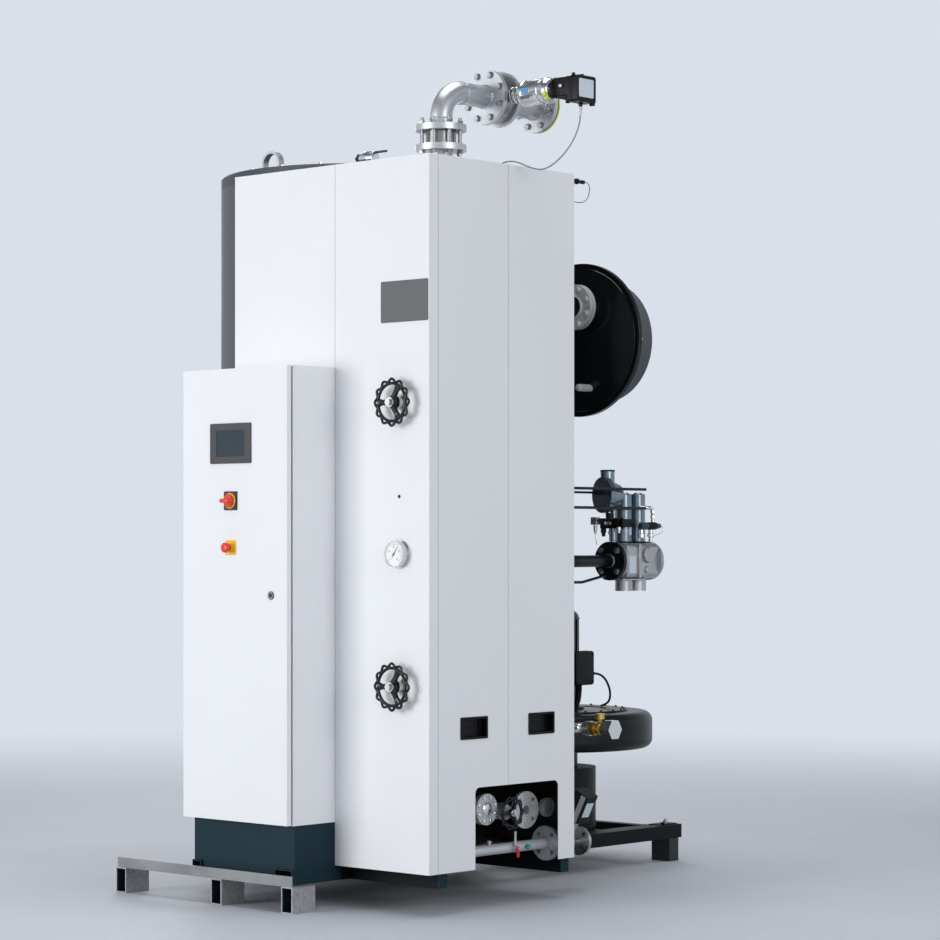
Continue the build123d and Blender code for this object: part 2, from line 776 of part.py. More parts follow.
check_body = drum(riser_x, riser_y, lower_flange_top + seat, check_valve_radius,
                  check_valve_length - 2 * seat)
check_body -= drum(riser_x, riser_y, lower_flange_top, bore, check_valve_length)
check_pieces = [check_body]
for place in PolarLocations(flange80_pcd / 2, flange_holes, start_angle=180.0 / flange_holes):
    stud_bottom = riser_flange_z - stud_nut_height - seat - 2.0
    stud = drum(0, 0, stud_bottom, stud_radius, upper_flange_top + stud_overhang - stud_bottom)
    for z in (riser_flange_z - stud_nut_height - seat, upper_flange_top + seat):
        stud += Pos(0, 0, z) * extrude(RegularPolygon(stud_nut_radius, 6), stud_nut_height)
    check_pieces.append(Pos(riser_x, riser_y, 0) * place * stud)
save("check_valve", group(check_pieces))

elbow = bent_pipe([(riser_x, riser_y, upper_flange_top), (riser_x, riser_y, outlet_z),
                   (riser_x, outlet_flange_y, outlet_z)], elbow_radius, pipe_radius, pipe_wall)
elbow += flange((riser_x, riser_y, upper_flange_bottom), UP, flange80_radius, flange80_thickness, bore,
                flange80_pcd, flange_holes, flange_hole_radius)
elbow += flange((riser_x, outlet_flange_y, outlet_z), BACK, flange100_radius, flange100_thickness, bore,
                flange100_pcd, flange_holes, flange_hole_radius)
save("outlet_elbow", elbow)

valve_start = outlet_flange_y + flange100_thickness + seat
valve_end = valve_start + steam_valve_length
valve_mid = (valve_start + valve_end) / 2
valve = rod((riser_x, valve_start, outlet_z), (riser_x, valve_end, outlet_z), steam_valve_radius)
valve += rod((riser_x, valve_mid, outlet_z), (actuator_start - seat, valve_mid, outlet_z), valve_neck_radius)
save("steam_valve", valve - rod((riser_x, valve_start, outlet_z), (riser_x, valve_end, outlet_z), bore))

actuator_end = actuator_start + actuator_length
actuator_profile = Polyline(
    (0, 0), (actuator_radius - 10, 0), (actuator_radius, 14), (actuator_radius, 30),
    (actuator_radius - actuator_band, 33), (actuator_radius - actuator_band, actuator_length - 33),
    (actuator_radius, actuator_length - 30), (actuator_radius, actuator_length - 8),
    (actuator_radius - 8, actuator_length), (0, actuator_length), close=True)
can = revolve(Plane.XZ * make_face(actuator_profile), Axis.Z)
save("steam_actuator", facing((actuator_start, valve_mid, outlet_z), RIGHT) * can)

box_x = actuator_end + seat
box_y = valve_mid + positioner_offset
box_z = outlet_z + positioner_rise
lid_z = outlet_z - positioner_lid_drop
lid_x = box_x + positioner_length - positioner_lid
positioner = block(box_x, lid_x, box_y - 0.46 * positioner_width, box_y + 0.46 * positioner_width,
                   box_z - positioner_height / 2, box_z + positioner_height / 2)
positioner = fillet(positioner.edges().filter_by(Axis.X), positioner_corner)
lid = block(lid_x, box_x + positioner_length, box_y - positioner_width / 2, box_y + positioner_width / 2,
            lid_z - positioner_lid_height / 2, lid_z + positioner_lid_height / 2)
positioner += fillet(lid.edges().filter_by(Axis.X), positioner_corner)
gland_top = lid_z - positioner_lid_height / 2
gland_bottom = gland_top - gland_length
gland = rod((gland_x, gland_y, gland_top), (gland_x, gland_y, gland_bottom), gland_radius)
save("positioner", positioner + gland)

spool_start = valve_end + seat
outlet_end = spool_start + 2 * flange100_thickness + spool_length
spool = rod((riser_x, spool_start, outlet_z), (riser_x, outlet_end, outlet_z), spool_radius)
for y in (spool_start, outlet_end - flange100_thickness):
    spool += flange((riser_x, y, outlet_z), BACK, flange100_radius, flange100_thickness, 0, flange100_pcd,
                    flange_holes, flange_hole_radius)
save("outlet_spool", spool - rod((riser_x, spool_start, outlet_z), (riser_x, outlet_end, outlet_z),
                                 spool_radius - pipe_wall))

# Cables: straight runs joined by arcs as large as the shorter of their two runs allows

def cord(name, points, radius):
    """A round cable along its route, with its volume compared with section times length."""
    points = [Vector(*point) for point in points]
    radii = []
    for before, corner, after in zip(points, points[1:], points[2:]):
        turn = math.radians((corner - before).get_angle(after - corner))
        radii.append(0.45 * min((corner - before).length, (after - corner).length) / math.tan(turn / 2))
    route = FilletPolyline(*points, radius=radii)
    start = Plane(origin=points[0], z_dir=(points[1] - points[0]).normalized())
    solid = sweep(start * Circle(radius), path=route)
    ratio = solid.volume / (math.pi * radius ** 2 * route.length)
    print(name, "arc radii", [round(r, 1) for r in radii], "length", round(route.length, 1),
          "volume", round(ratio, 4))
    return solid


save("signal_cable", cord("signal cable", [
    (gland_x, gland_y, gland_bottom),
    (gland_x, gland_y, gland_bottom - 38.0),
    (gland_x - 9.0, gland_y - 3.0, gland_bottom - 84.0),
    (gland_x - 34.0, gland_y - 10.0, gland_bottom - 138.0),
    (gland_x - 84.0, gland_y - 22.0, gland_bottom - 196.0),
    (gland_x - 150.0, gland_y - 40.0, gland_bottom - 238.0),
    (gland_x - 208.0, gland_y - 60.0, gland_bottom - 226.0),
    (gland_x - 262.0, gland_y - 78.0, casing_top + 14.0),
    (gland_x - 304.0, gland_y - 94.0, casing_top + 17.0),
    (gland_x - 344.0, gland_y - 102.0, casing_top + 2.0),
    (gland_x - 374.0, gland_y - 106.0, casing_top - 30.0),
    (gland_x - 378.0, gland_y - 106.0, casing_top - 71.0),
], cable_radius))

# Drum at the back: dished cover with a turned rim, shell, port and knob, and the duct that carries it

rim_start = drum_radius - drum_lip
dish_radius = (rim_start ** 2 + drum_dish ** 2) / (2 * drum_dish)
dish_middle = dish_radius - drum_dish - math.sqrt(dish_radius ** 2 - rim_start ** 2 / 4)
cover_profile = make_face(Polyline((0, drum_rim), (drum_radius, drum_rim), (drum_radius, 0), (rim_start, 0))
                          + ThreePointArc((rim_start, 0), (rim_start / 2, dish_middle), (0, -drum_dish))
                          + Line((0, -drum_dish), (0, drum_rim)))
drum_place = Pos(drum_x, drum_front, drum_z)
cover = drum_place * revolve(cover_profile, Axis.Y)
save("drum_cover", cover)

shell_front = drum_front + drum_rim + seat
shell_back = shell_front + drum_shell_length
save("drum_shell", rod((drum_x, shell_front, drum_z), (drum_x, shell_back, drum_z), drum_shell_radius))

port_x, port_z = drum_x + drum_flange_x, drum_z + drum_flange_z
port_y = drum_front - drum_dish - drum_stub_length
port = rod((port_x, drum_front - seat, port_z), (port_x, port_y, port_z), drum_stub_radius)
port += rod((port_x, port_y, port_z), (port_x, port_y - 2 * drum_flange_thickness - drum_flange_gap, port_z),
            drum_flange_radius - drum_flange_gap)
for step in (0, drum_flange_thickness + drum_flange_gap):
    port += rod((port_x, port_y - step, port_z), (port_x, port_y - step - drum_flange_thickness, port_z),
                drum_flange_radius)
knob_x, knob_z = drum_x + drum_knob_x, drum_z + drum_knob_z
knob_front = drum_front - drum_dish - drum_knob_length
port_knob = rod((knob_x, drum_front - seat, knob_z), (knob_x, knob_front, knob_z), drum_knob_radius)
save("drum_fittings", group([port - cover, port_knob - cover]))

duct_right = drum_x - drum_shell_radius + duct_lap
duct_front = (shell_front + shell_back - duct_depth) / 2
duct_top = drum_z + duct_rise
duct = block(duct_right - duct_width, duct_right, duct_front, duct_front + duct_depth,
             fan_top + seat, duct_top)
duct -= block(duct_right - duct_width + duct_wall, duct_right - duct_wall, duct_front + duct_wall,
              duct_front + duct_depth - duct_wall, fan_top + seat, duct_top - duct_wall)
save("air_duct", duct - rod((drum_x, shell_front - drum_rim, drum_z),
                            (drum_x, shell_back + drum_rim, drum_z), drum_shell_radius + seat))

# Gas train: pipe from the boiler, double valve with its two actuators, governor and the two bars beside them

gas_bore = gas_pipe_radius - gas_pipe_wall
gas_pipe = bent_pipe([(boiler_x, gas_pipe_y, gas_z), (gas_x, gas_pipe_y, gas_z),
                      (gas_x, gas_flange_y, gas_z)], gas_bend_radius, gas_pipe_radius, gas_pipe_wall)
gas_pipe -= drum(boiler_x, boiler_y, shell_bottom, boiler_radius + seat, shell_height)
gas_pipe += flange((gas_x, gas_flange_y, gas_z), BACK, gas_flange_radius, gas_flange_thickness,
                   gas_bore, gas_flange_pcd, 4, flange_hole_radius)
impulse_route = FilletPolyline((gas_x, casing_depth + seat, impulse_line_z),
                               (gas_x, gas_flange_y - impulse_line_run, impulse_line_z),
                               (gas_x, gas_flange_y + 1.0, impulse_line_z + impulse_line_rise),
                               radius=impulse_line_bend)
gas_pipe += sweep(Plane(origin=impulse_route @ 0, z_dir=impulse_route % 0) * Circle(impulse_line_radius),
                  path=impulse_route)
save("gas_pipe", gas_pipe)

gas_body_front = gas_flange_y + gas_flange_thickness + seat
gas_body_back = gas_body_front + gas_body_length
gas_body_mid = (gas_body_front + gas_body_back) / 2
gas_body = block(gas_x - gas_body_width / 2, gas_x + gas_body_width / 2,
                 gas_body_front + gas_flange_thickness, gas_body_back - gas_flange_thickness,
                 gas_z - gas_body_height / 2, gas_z + gas_body_height / 2)
gas_body = fillet(gas_body.edges().filter_by(Axis.Y), gas_body_corner)
for y in (gas_body_front, gas_body_back - gas_flange_thickness):
    gas_body += flange((gas_x, y, gas_z), BACK, gas_flange_radius, gas_flange_thickness, 0,
                       gas_flange_pcd, 4, flange_hole_radius)
can_ys = (gas_body_mid - gas_can_pitch / 2, gas_body_mid + gas_can_pitch / 2)
for y in can_ys:
    gas_body += drum(gas_x, y, gas_cap_bottom, gas_cap_radius, gas_z - gas_cap_bottom)
gas_way = rod((gas_x, gas_body_front, gas_z), (gas_x, gas_body_back, gas_z), gas_bore)
save("gas_valve_body", gas_body - gas_way)

can_bottom = gas_z + gas_body_height / 2 + seat
cans = [drum(gas_x, y, can_bottom, gas_can_radius, gas_can_top - can_bottom) for y in can_ys]
save("gas_actuators", group(fillet(can.edges().group_by(Axis.Z)[-1], 5.0) for can in cans))

stem_y = gas_body_front + gas_flange_thickness / 2
stem_foot = gas_z + gas_flange_radius + seat
turn = math.radians(governor_turn)
governor_axis = (math.sin(turn), math.cos(turn), 0)
governor_profile = Polyline((0, 0), (governor_radius, 0), (governor_radius, governor_disc),
                            (governor_radius - 6, governor_disc),
                            (governor_nose_radius, governor_disc + governor_cone),
                            (0, governor_disc + governor_cone), close=True)
governor = facing((gas_x, stem_y - governor_reach, governor_z), governor_axis) * revolve(
    Plane.XZ * make_face(governor_profile), Axis.Z)
governor += drum(gas_x, stem_y - governor_reach / 2, governor_z, 30.0, governor_radius + 24.0)
governor += drum(gas_x, stem_y, stem_foot, governor_stem_radius, governor_z - stem_foot)
save("gas_governor", governor)

bar_x = gas_x + governor_radius + seat + gas_bar_radius
bars = []
for z in gas_bar_heights:
    bar = rod((bar_x, casing_depth + seat, z), (bar_x, can_ys[0] + gas_bar_overrun, z), gas_bar_radius)
    if z < gas_can_top:
        bar += block(gas_x + gas_can_radius + seat, bar_x, can_ys[0] - 6.0, can_ys[0] + 6.0,
                     z - 4.0, z + 4.0)
    bars.append(bar)
inlet_bar_z = governor_z + inlet_bar_rise
inlet_bar_end = stem_y - governor_reach - seat
inlet_bar = rod((gas_x, casing_depth + seat, inlet_bar_z), (gas_x, inlet_bar_end, inlet_bar_z),
                inlet_bar_radius)
inlet_bar += nut((gas_x, inlet_bar_end - inlet_bar_fitting_length, inlet_bar_z), BACK,
                 inlet_bar_fitting, inlet_bar_fitting_length)
bars.append(inlet_bar - governor)
save("gas_bars", group(bars))

# Fan: flat round housing with its bolted ring, ribbed motor with a terminal box, and the pedestal

fan_ring_top = fan_top + fan_ring_thickness
housing = drum(fan_x, fan_y, fan_bottom, fan_radius, fan_top - fan_bottom)
housing = fillet(housing.edges().filter_by(GeomType.CIRCLE), fan_edge)
housing += drum(fan_x, fan_y, fan_top, fan_ring_radius, fan_ring_thickness) - drum(
    fan_x, fan_y, fan_top, fan_ring_inner, fan_ring_thickness)
save("fan_housing", housing - block(duct_right - duct_width - seat, duct_right + seat, duct_front - seat,
                                    duct_front + duct_depth + seat, fan_top, fan_ring_top))

motor_profile = Circle(motor_radius) - PolarLocations(motor_radius, motor_rib_count) * Rectangle(
    2 * motor_rib_depth, math.pi * motor_radius / motor_rib_count)
motor_base = fan_top + seat
motor = Pos(fan_x, fan_y, motor_base) * extrude(motor_profile, motor_top - motor_crown - motor_base)
crown = drum(fan_x, fan_y, motor_top - motor_crown, motor_radius, motor_crown)
motor += fillet(crown.edges().group_by(Axis.Z)[-1], motor_crown - 2.0)
box_start = fan_x + motor_radius - motor_rib_depth
box_end = fan_x + motor_radius + terminal_box_depth
motor += block(box_start, box_end, terminal_box_y - terminal_box_width / 2,
               terminal_box_y + terminal_box_width / 2, terminal_box_bottom, terminal_box_top)
save("fan_motor", motor)

save("fan_pedestal", drum(fan_x, fan_y, beam_top + seat, pedestal_radius, pedestal_top - beam_top - seat)
     + drum(fan_x, fan_y, pedestal_top, pedestal_neck_radius, fan_bottom - seat - pedestal_top))

cable_y = terminal_box_y + terminal_box_width / 2
cable_x = box_end - 17.0
save("motor_cable", cord("motor cable", [
    (cable_x, cable_y, 851.0),
    (cable_x, cable_y + 40.0, 851.0),
    (cable_x - 1.0, cable_y + 84.0, 838.0),
    (cable_x - 4.0, cable_y + 120.0, 808.0),
    (cable_x - 12.0, cable_y + 150.0, 768.0),
    (cable_x - 28.0, cable_y + 168.0, 730.0),
    (cable_x - 58.0, cable_y + 182.0, 706.0),
    (cable_x - 98.0, cable_y + 190.0, fan_ring_top + motor_cable_radius + seat),
], motor_cable_radius))

# Feed header behind the side cut-out: pipe with a strainer, a hand valve, the open inlet flange and a union

header_bore = header_radius - header_wall
branch_radius = 0.9 * header_radius
branch_bore = branch_radius - header_wall
header = rod((header_x, header_front, header_z), (header_x, header_back, header_z), header_radius)
header += rod((boiler_x, header_branch_y, header_z), (header_x, header_branch_y, header_z), branch_radius)
header += rod((header_x, inlet_y, header_z), (inlet_face, inlet_y, header_z), branch_radius)
header += rod((header_x, union_y, header_z), (union_face, union_y, header_z), 0.8 * branch_radius)
header += rod((union_face - union_thickness, union_y, header_z), (union_face, union_y, header_z),
              union_radius)
header += flange((inlet_face - inlet_thickness, inlet_y, header_z), RIGHT, inlet_radius, inlet_thickness, 0,
                 inlet_pcd, 4, flange_hole_radius)
header -= rod((header_x, header_front + header_wall, header_z),
              (header_x, header_back - header_wall, header_z), header_bore)
header -= rod((header_x, inlet_y, header_z), (inlet_face + 1.0, inlet_y, header_z), branch_bore)
header -= rod((boiler_x, header_branch_y, header_z), (header_x, header_branch_y, header_z), branch_bore)
save("feed_header", header - drum(boiler_x, boiler_y, shell_bottom, boiler_radius + seat, shell_height))

strainer_start = header_x + header_radius + seat
strainer_back = strainer_face - 22.0
strainer = rod((strainer_start, strainer_y, header_z), (strainer_back, strainer_y, header_z), 40.0)
strainer += rod((strainer_back, strainer_y, strainer_z), (strainer_face, strainer_y, strainer_z),
                strainer_radius)
save("feed_strainer", strainer)

feed_hub_back = feed_wheel_x - feed_wheel_thickness
feed_nut_x = feed_hub_back - 18.0
feed_valve = rod((strainer_start, feed_valve_y, header_z), (feed_nut_x, feed_valve_y, header_z), 30.0)
feed_valve += nut((feed_nut_x, feed_valve_y, header_z), RIGHT, 24.0, 17.0)
feed_valve += rod((feed_hub_back - 1.0, feed_valve_y, header_z),
                  (feed_wheel_x + 13.0, feed_valve_y, header_z), feed_stem_radius)
feed_valve += nut((feed_wheel_x + feed_wheel_thickness + 1.0, feed_valve_y, header_z), RIGHT, 11.0, 7.0)
save("feed_valve", feed_valve)
feed_wheel = handwheel(feed_wheel_radius, 13.0, 10, 46.0, feed_wheel_thickness, 15.0,
                       2 * feed_wheel_thickness, 3, 18.0, feed_stem_radius + pin_clearance, 0)
save("feed_handwheel", facing((feed_wheel_x, feed_valve_y, header_z), RIGHT) * feed_wheel)

# Drain along the bottom of the cut-out, with its flange and a small cock whose lever hangs down

drain = bent_pipe([(boiler_x, drain_start_y, drain_z), (drain_x, drain_start_y, drain_z),
                   (drain_x, drain_flange_y, drain_z)], drain_bend, drain_radius, drain_wall)
drain += flange((drain_x, drain_flange_y, drain_z), BACK, drain_flange_radius, drain_flange_thickness,
                drain_radius - drain_wall, drain_flange_pcd, 4, flange_hole_radius)
cock_end = drain_x + drain_radius + 20.0
drain += rod((drain_x + drain_radius - drain_wall / 2, drain_cock_y, drain_z),
             (cock_end, drain_cock_y, drain_z), drain_cock_radius)
drain += rod((cock_end, drain_cock_y, drain_z), (cock_end + lever_thickness + 4.0, drain_cock_y, drain_z),
             lever_pin_radius)
drain += drum(cock_end - drain_cock_radius, drain_cock_y, drain_z, drain_stem_radius, drain_stem_height)
save("drain_pipe", drain - drum(boiler_x, boiler_y, beam_top, boiler_radius + seat, shell_height))
lever_start = cock_end + 1.0
lever_place = Plane(origin=(lever_start, drain_cock_y, drain_z), x_dir=(0, 0, -1), z_dir=RIGHT)
lever = extrude(lever_place * Pos(lever_length / 2 - lever_width / 2, 0)
                * SlotOverall(lever_length, lever_width), lever_thickness)
save("drain_lever", lever - rod((cock_end, drain_cock_y, drain_z), (cock_end + 20.0, drain_cock_y, drain_z),
                                lever_pin_radius + pin_clearance))

# Blow-down valve: ball valve on its pipe with an outlet flange, and the tilted actuator on its neck

blowdown_corner = (blowdown_x, blowdown_start_y, blowdown_z)
blowdown_end = (blowdown_x, blowdown_flange_y, blowdown_z)
blowdown = bent_pipe([(boiler_x, blowdown_start_y, blowdown_z), blowdown_corner, blowdown_end],
                     blowdown_bend, blowdown_radius, drain_wall)
blowdown -= drum(boiler_x, boiler_y, beam_top, boiler_radius + seat, shell_height)
blowdown_ball = Pos(blowdown_x, blowdown_ball_y, blowdown_z) * Sphere(blowdown_ball_radius)
blowdown += blowdown_ball - rod(blowdown_corner, blowdown_end, blowdown_radius - drain_wall)
blowdown += flange((blowdown_x, blowdown_flange_y, blowdown_z), BACK, blowdown_flange_radius,
                   blowdown_flange_thickness, blowdown_radius - drain_wall, blowdown_flange_pcd, 4,
                   flange_hole_radius - 2.0)
tilt = math.radians(blowdown_tilt)
lean = (math.sin(tilt), 0, math.cos(tilt))
neck_foot = (blowdown_x + lean[0] * (blowdown_ball_radius - 2.0), blowdown_ball_y,
             blowdown_z + lean[2] * (blowdown_ball_radius - 2.0))
neck_head = (blowdown_x + lean[0] * blowdown_neck, blowdown_ball_y, blowdown_z + lean[2] * blowdown_neck)
save("blowdown_valve", blowdown + rod(neck_foot, neck_head, 18.0))
box_profile = RectangleRounded(blowdown_box_width, blowdown_box_width, 10.0)
box_foot = (neck_head[0] + lean[0] * seat, blowdown_ball_y, neck_head[2] + lean[2] * seat)
save("blowdown_actuator", extrude(Plane(origin=box_foot, x_dir=BACK, z_dir=lean) * box_profile,
                                  blowdown_box_length))

# Side cock behind the casing: steel line with a bellows, brass cock and a capped end

side_line = bent_pipe([(side_line_x, casing_depth - 2 * panel_return, side_line_z),
                       (side_line_x, side_line_y, side_line_z), (bellows_start, side_line_y, side_line_z)],
                      side_line_bend, side_line_radius, drain_wall)
ridge = (brass_start - seat - bellows_start) / 3
for i in range(3):
    ridge_start = (bellows_start + i * ridge, side_line_y, side_line_z)
    ridge_middle = (bellows_start + (i + 0.5) * ridge, side_line_y, side_line_z)
    ridge_end = (bellows_start + (i + 1) * ridge, side_line_y, side_line_z)
    side_line += rod(ridge_start, ridge_middle, bellows_radius)
    side_line += rod(ridge_middle, ridge_end, side_line_radius)
cap_start_x = brass_end + seat
cock_cap = nut((cap_start_x, side_line_y, side_line_z), RIGHT, cock_cap_radius, cock_cap_end - cap_start_x)
save("side_line", group([side_line, cock_cap]))
brass = nut((brass_start, side_line_y, side_line_z), RIGHT, cock_radius + 4.0, 20.0)
brass += rod((brass_start, side_line_y, side_line_z), (brass_end, side_line_y, side_line_z),
             cock_radius - 5.0)
brass += Pos((brass_start + brass_end) / 2, side_line_y, side_line_z) * Sphere(cock_radius)
brass += nut((brass_end - 20.0, side_line_y, side_line_z), RIGHT, cock_radius + 4.0, 20.0)
brass_middle = (brass_start + brass_end) / 2
brass += drum(brass_middle, side_line_y, side_line_z, 9.0, cock_stem)
brass += drum(brass_middle, side_line_y, side_line_z + cock_stem, cock_top_radius, cock_top_height)
save("brass_cock", brass)
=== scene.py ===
import math

import bmesh
import bpy
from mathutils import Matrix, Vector


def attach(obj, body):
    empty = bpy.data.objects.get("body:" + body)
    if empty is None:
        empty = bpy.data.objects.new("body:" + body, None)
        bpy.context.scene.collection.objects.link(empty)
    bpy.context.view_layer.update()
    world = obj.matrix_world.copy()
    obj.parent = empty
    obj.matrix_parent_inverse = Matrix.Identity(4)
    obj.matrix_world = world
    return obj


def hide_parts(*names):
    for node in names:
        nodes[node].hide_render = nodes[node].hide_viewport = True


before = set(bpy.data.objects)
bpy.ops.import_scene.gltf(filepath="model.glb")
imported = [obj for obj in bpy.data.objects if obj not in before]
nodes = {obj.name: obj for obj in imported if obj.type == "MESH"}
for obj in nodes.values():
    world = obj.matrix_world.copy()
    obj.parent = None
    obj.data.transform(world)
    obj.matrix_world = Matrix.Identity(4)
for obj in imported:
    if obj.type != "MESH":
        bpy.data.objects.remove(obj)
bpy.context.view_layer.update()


# The camera stands to the right of the machine's front at eye height, about eleven metres away, and looks
# level. Its lens is shifted up a little, so that the casing's edges stay upright as in the photograph.
def placed(name, data):
    """An object in the scene with this mesh, curve, camera or lamp."""
    made = bpy.data.objects.new(name, data)
    bpy.context.scene.collection.objects.link(made)
    return made


camera = placed("camera", bpy.data.cameras.new("camera"))
camera.location = (7.858, -7.589, 1.445)
camera.rotation_euler = (math.pi / 2, 0, math.radians(42.5))
camera.data.lens = 107.6
camera.data.shift_y = 0.0745
bpy.context.scene.camera = camera


# The two free cables are round flexible leads with a smooth rubber sheath. The signal cable hangs from the
# valve positioner's gland to an entry in the top plate. The motor cable bends from its box to the fan.
class Wire:
    """One socket of a material's node tree, so that sums on it read as plain Python."""

    def __init__(self, tree, socket=None):
        self.tree = tree
        self.socket = socket

    def node(self, kind, settings=None, sockets=None, out=0):
        """Adds a node, its settings before its sockets' values or wires, and gives one of its outputs."""
        made = self.tree.nodes.new(kind)
        for name, value in (settings or {}).items():
            setattr(made, name, value)
        for name, value in (sockets or {}).items():
            if isinstance(value, Wire):
                self.tree.links.new(value.socket, made.inputs[name])
            else:
                made.inputs[name].default_value = value
        return Wire(self.tree, made.outputs[out])

    def maths(self, operation, *values):
        return self.node("ShaderNodeMath", {"operation": operation}, dict(enumerate(values)))

    def __add__(self, other):
        return self.maths("ADD", self, other)

    def __mul__(self, other):
        return self.maths("MULTIPLY", self, other)

    def __rsub__(self, other):
        return self.maths("SUBTRACT", other, self)

    def __or__(self, other):
        """The larger of the two."""
        return self.maths("MAXIMUM", self, other)

    def over(self, low, high):
        """0 below low and 1 above high, in between in a smooth step."""
        return self.node("ShaderNodeMapRange", {"interpolation_type": "SMOOTHSTEP"},
            {"Value": self, "From Min": low, "From Max": high})

    def tint(self, first, second):
        """Mixes two colours, with this wire as the share of the second."""
        return self.node("ShaderNodeMix", {"data_type": "RGBA"}, {0: self, 6: first, 7: second}, 2)


def shade(colour, factor):
    """A colour made lighter or darker."""
    return tuple(min(1.0, part * factor) for part in colour) + (1.0,)


class Finish:
    """A material: constants go on the shader's own sockets, and what varies comes from noise."""

    def __init__(self, name, **constants):
        self.material = bpy.data.materials.new(name)
        self.material.use_nodes = True
        self.tree = self.material.node_tree
        self.node = Wire(self.tree).node
        self.place = self.node("ShaderNodeTexCoord", out="Object")
        for key, value in constants.items():
            self.socket(key).default_value = value

    def socket(self, key):
        title = key.replace("_", " ").title().replace("Ior", "IOR")
        return self.tree.nodes["Principled BSDF"].inputs[title]

    def noise(self, scale, detail=3.0, stretch=None):
        """Cloudy noise in metres on the piece, stretched where the finish has a direction."""
        place = self.place
        if stretch:
            place = self.node("ShaderNodeVectorMath", {"operation": "MULTIPLY"}, {0: place, 1: stretch})
        sockets = {"Vector": place, "Scale": scale, "Detail": detail}
        return self.node("ShaderNodeTexNoise", None, sockets, "Fac")

    def along(self, axis):
        """How far a spot lies along the file's X, Y or Z, in metres."""
        return self.node("ShaderNodeSeparateXYZ", None, {0: self.place}, axis)

    def feed(self, **wires):
        for key, wire in wires.items():
            self.tree.links.new(wire.socket, self.socket(key))

    def bump(self, wire, strength, distance):
        sockets = {"Strength": strength, "Distance": distance, "Height": wire}
        self.feed(normal=self.node("ShaderNodeBump", None, sockets, "Normal"))


def moulded(name, colour, roughness=0.45, grain=900.0, strength=0.12, coat=0.0, gloss=0.4):
    """Moulded plastic or rubber: a fine even grain, with the gloss a little uneven."""
    finish = Finish(name, coat_weight=coat, specular_ior_level=gloss)
    cloud = finish.noise(9.0)
    finish.feed(base_color=cloud.tint(shade(colour, 0.86), shade(colour, 1.14)),
        roughness=cloud * 0.16 + (roughness - 0.08))
    finish.bump(finish.noise(grain, 1.0), strength, 0.0004)
    return finish.material


cable_grey = moulded("signal cable sheath", (0.28, 0.29, 0.31), 0.5)
cable_black = moulded("motor cable sheath", (0.006, 0.006, 0.007), 0.42, gloss=0.25)
relief_white = moulded("pale plug plastic", (0.62, 0.63, 0.65), 0.4)


def cable(name, route, diameter, sheath):
    """A lead on one smooth spline through its route, which starts in its gland."""
    curve = bpy.data.curves.new(name, "CURVE")
    curve.dimensions = "3D"
    curve.bevel_depth = diameter / 2
    curve.bevel_resolution = 5
    curve.use_fill_caps = True
    spline = curve.splines.new("NURBS")
    spline.points.add(len(route) - 1)
    for point, place in zip(spline.points, route):
        point.co = (*place, 1.0)
    spline.order_u = 3
    spline.use_endpoint_u = True
    spline.resolution_u = 10
    curve.materials.append(sheath)
    lead = placed(name + "_sheath", curve)
    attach(lead, "machine")
    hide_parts(name)


CORNER_X, CORNER_Y = 497.0, 213.0
UP, DOWN = (0, 0, 1), (0, 0, -1)
FRONT, BACK = (0, -1, 0), (0, 1, 0)
RIGHT, LEFT = (1, 0, 0), (-1, 0, 0)
HOLLOW = True


def at(point):
    """A point in millimetres from the casing's front right corner, in the file's metres."""
    x, y, z = point
    return Vector(((x + CORNER_X) / 1000, (y + CORNER_Y) / 1000, z / 1000))


def axes(direction):
    """A direction with two more square to it: the first is level, and the other points up where it can."""
    along = Vector(direction).normalized()
    level = Vector((-along.y, along.x, 0)) if abs(along.z) < 0.999 else Vector((1, 0, 0))
    level.normalize()
    return along, level, along.cross(level)


def swung(u, v, angle):
    """The direction at an angle from u towards v."""
    return math.cos(angle) * u + math.sin(angle) * v


def round_steps(count, first=0):
    """The angles of a full turn in equal steps."""
    return [2 * math.pi * (i + first) / count for i in range(count)]


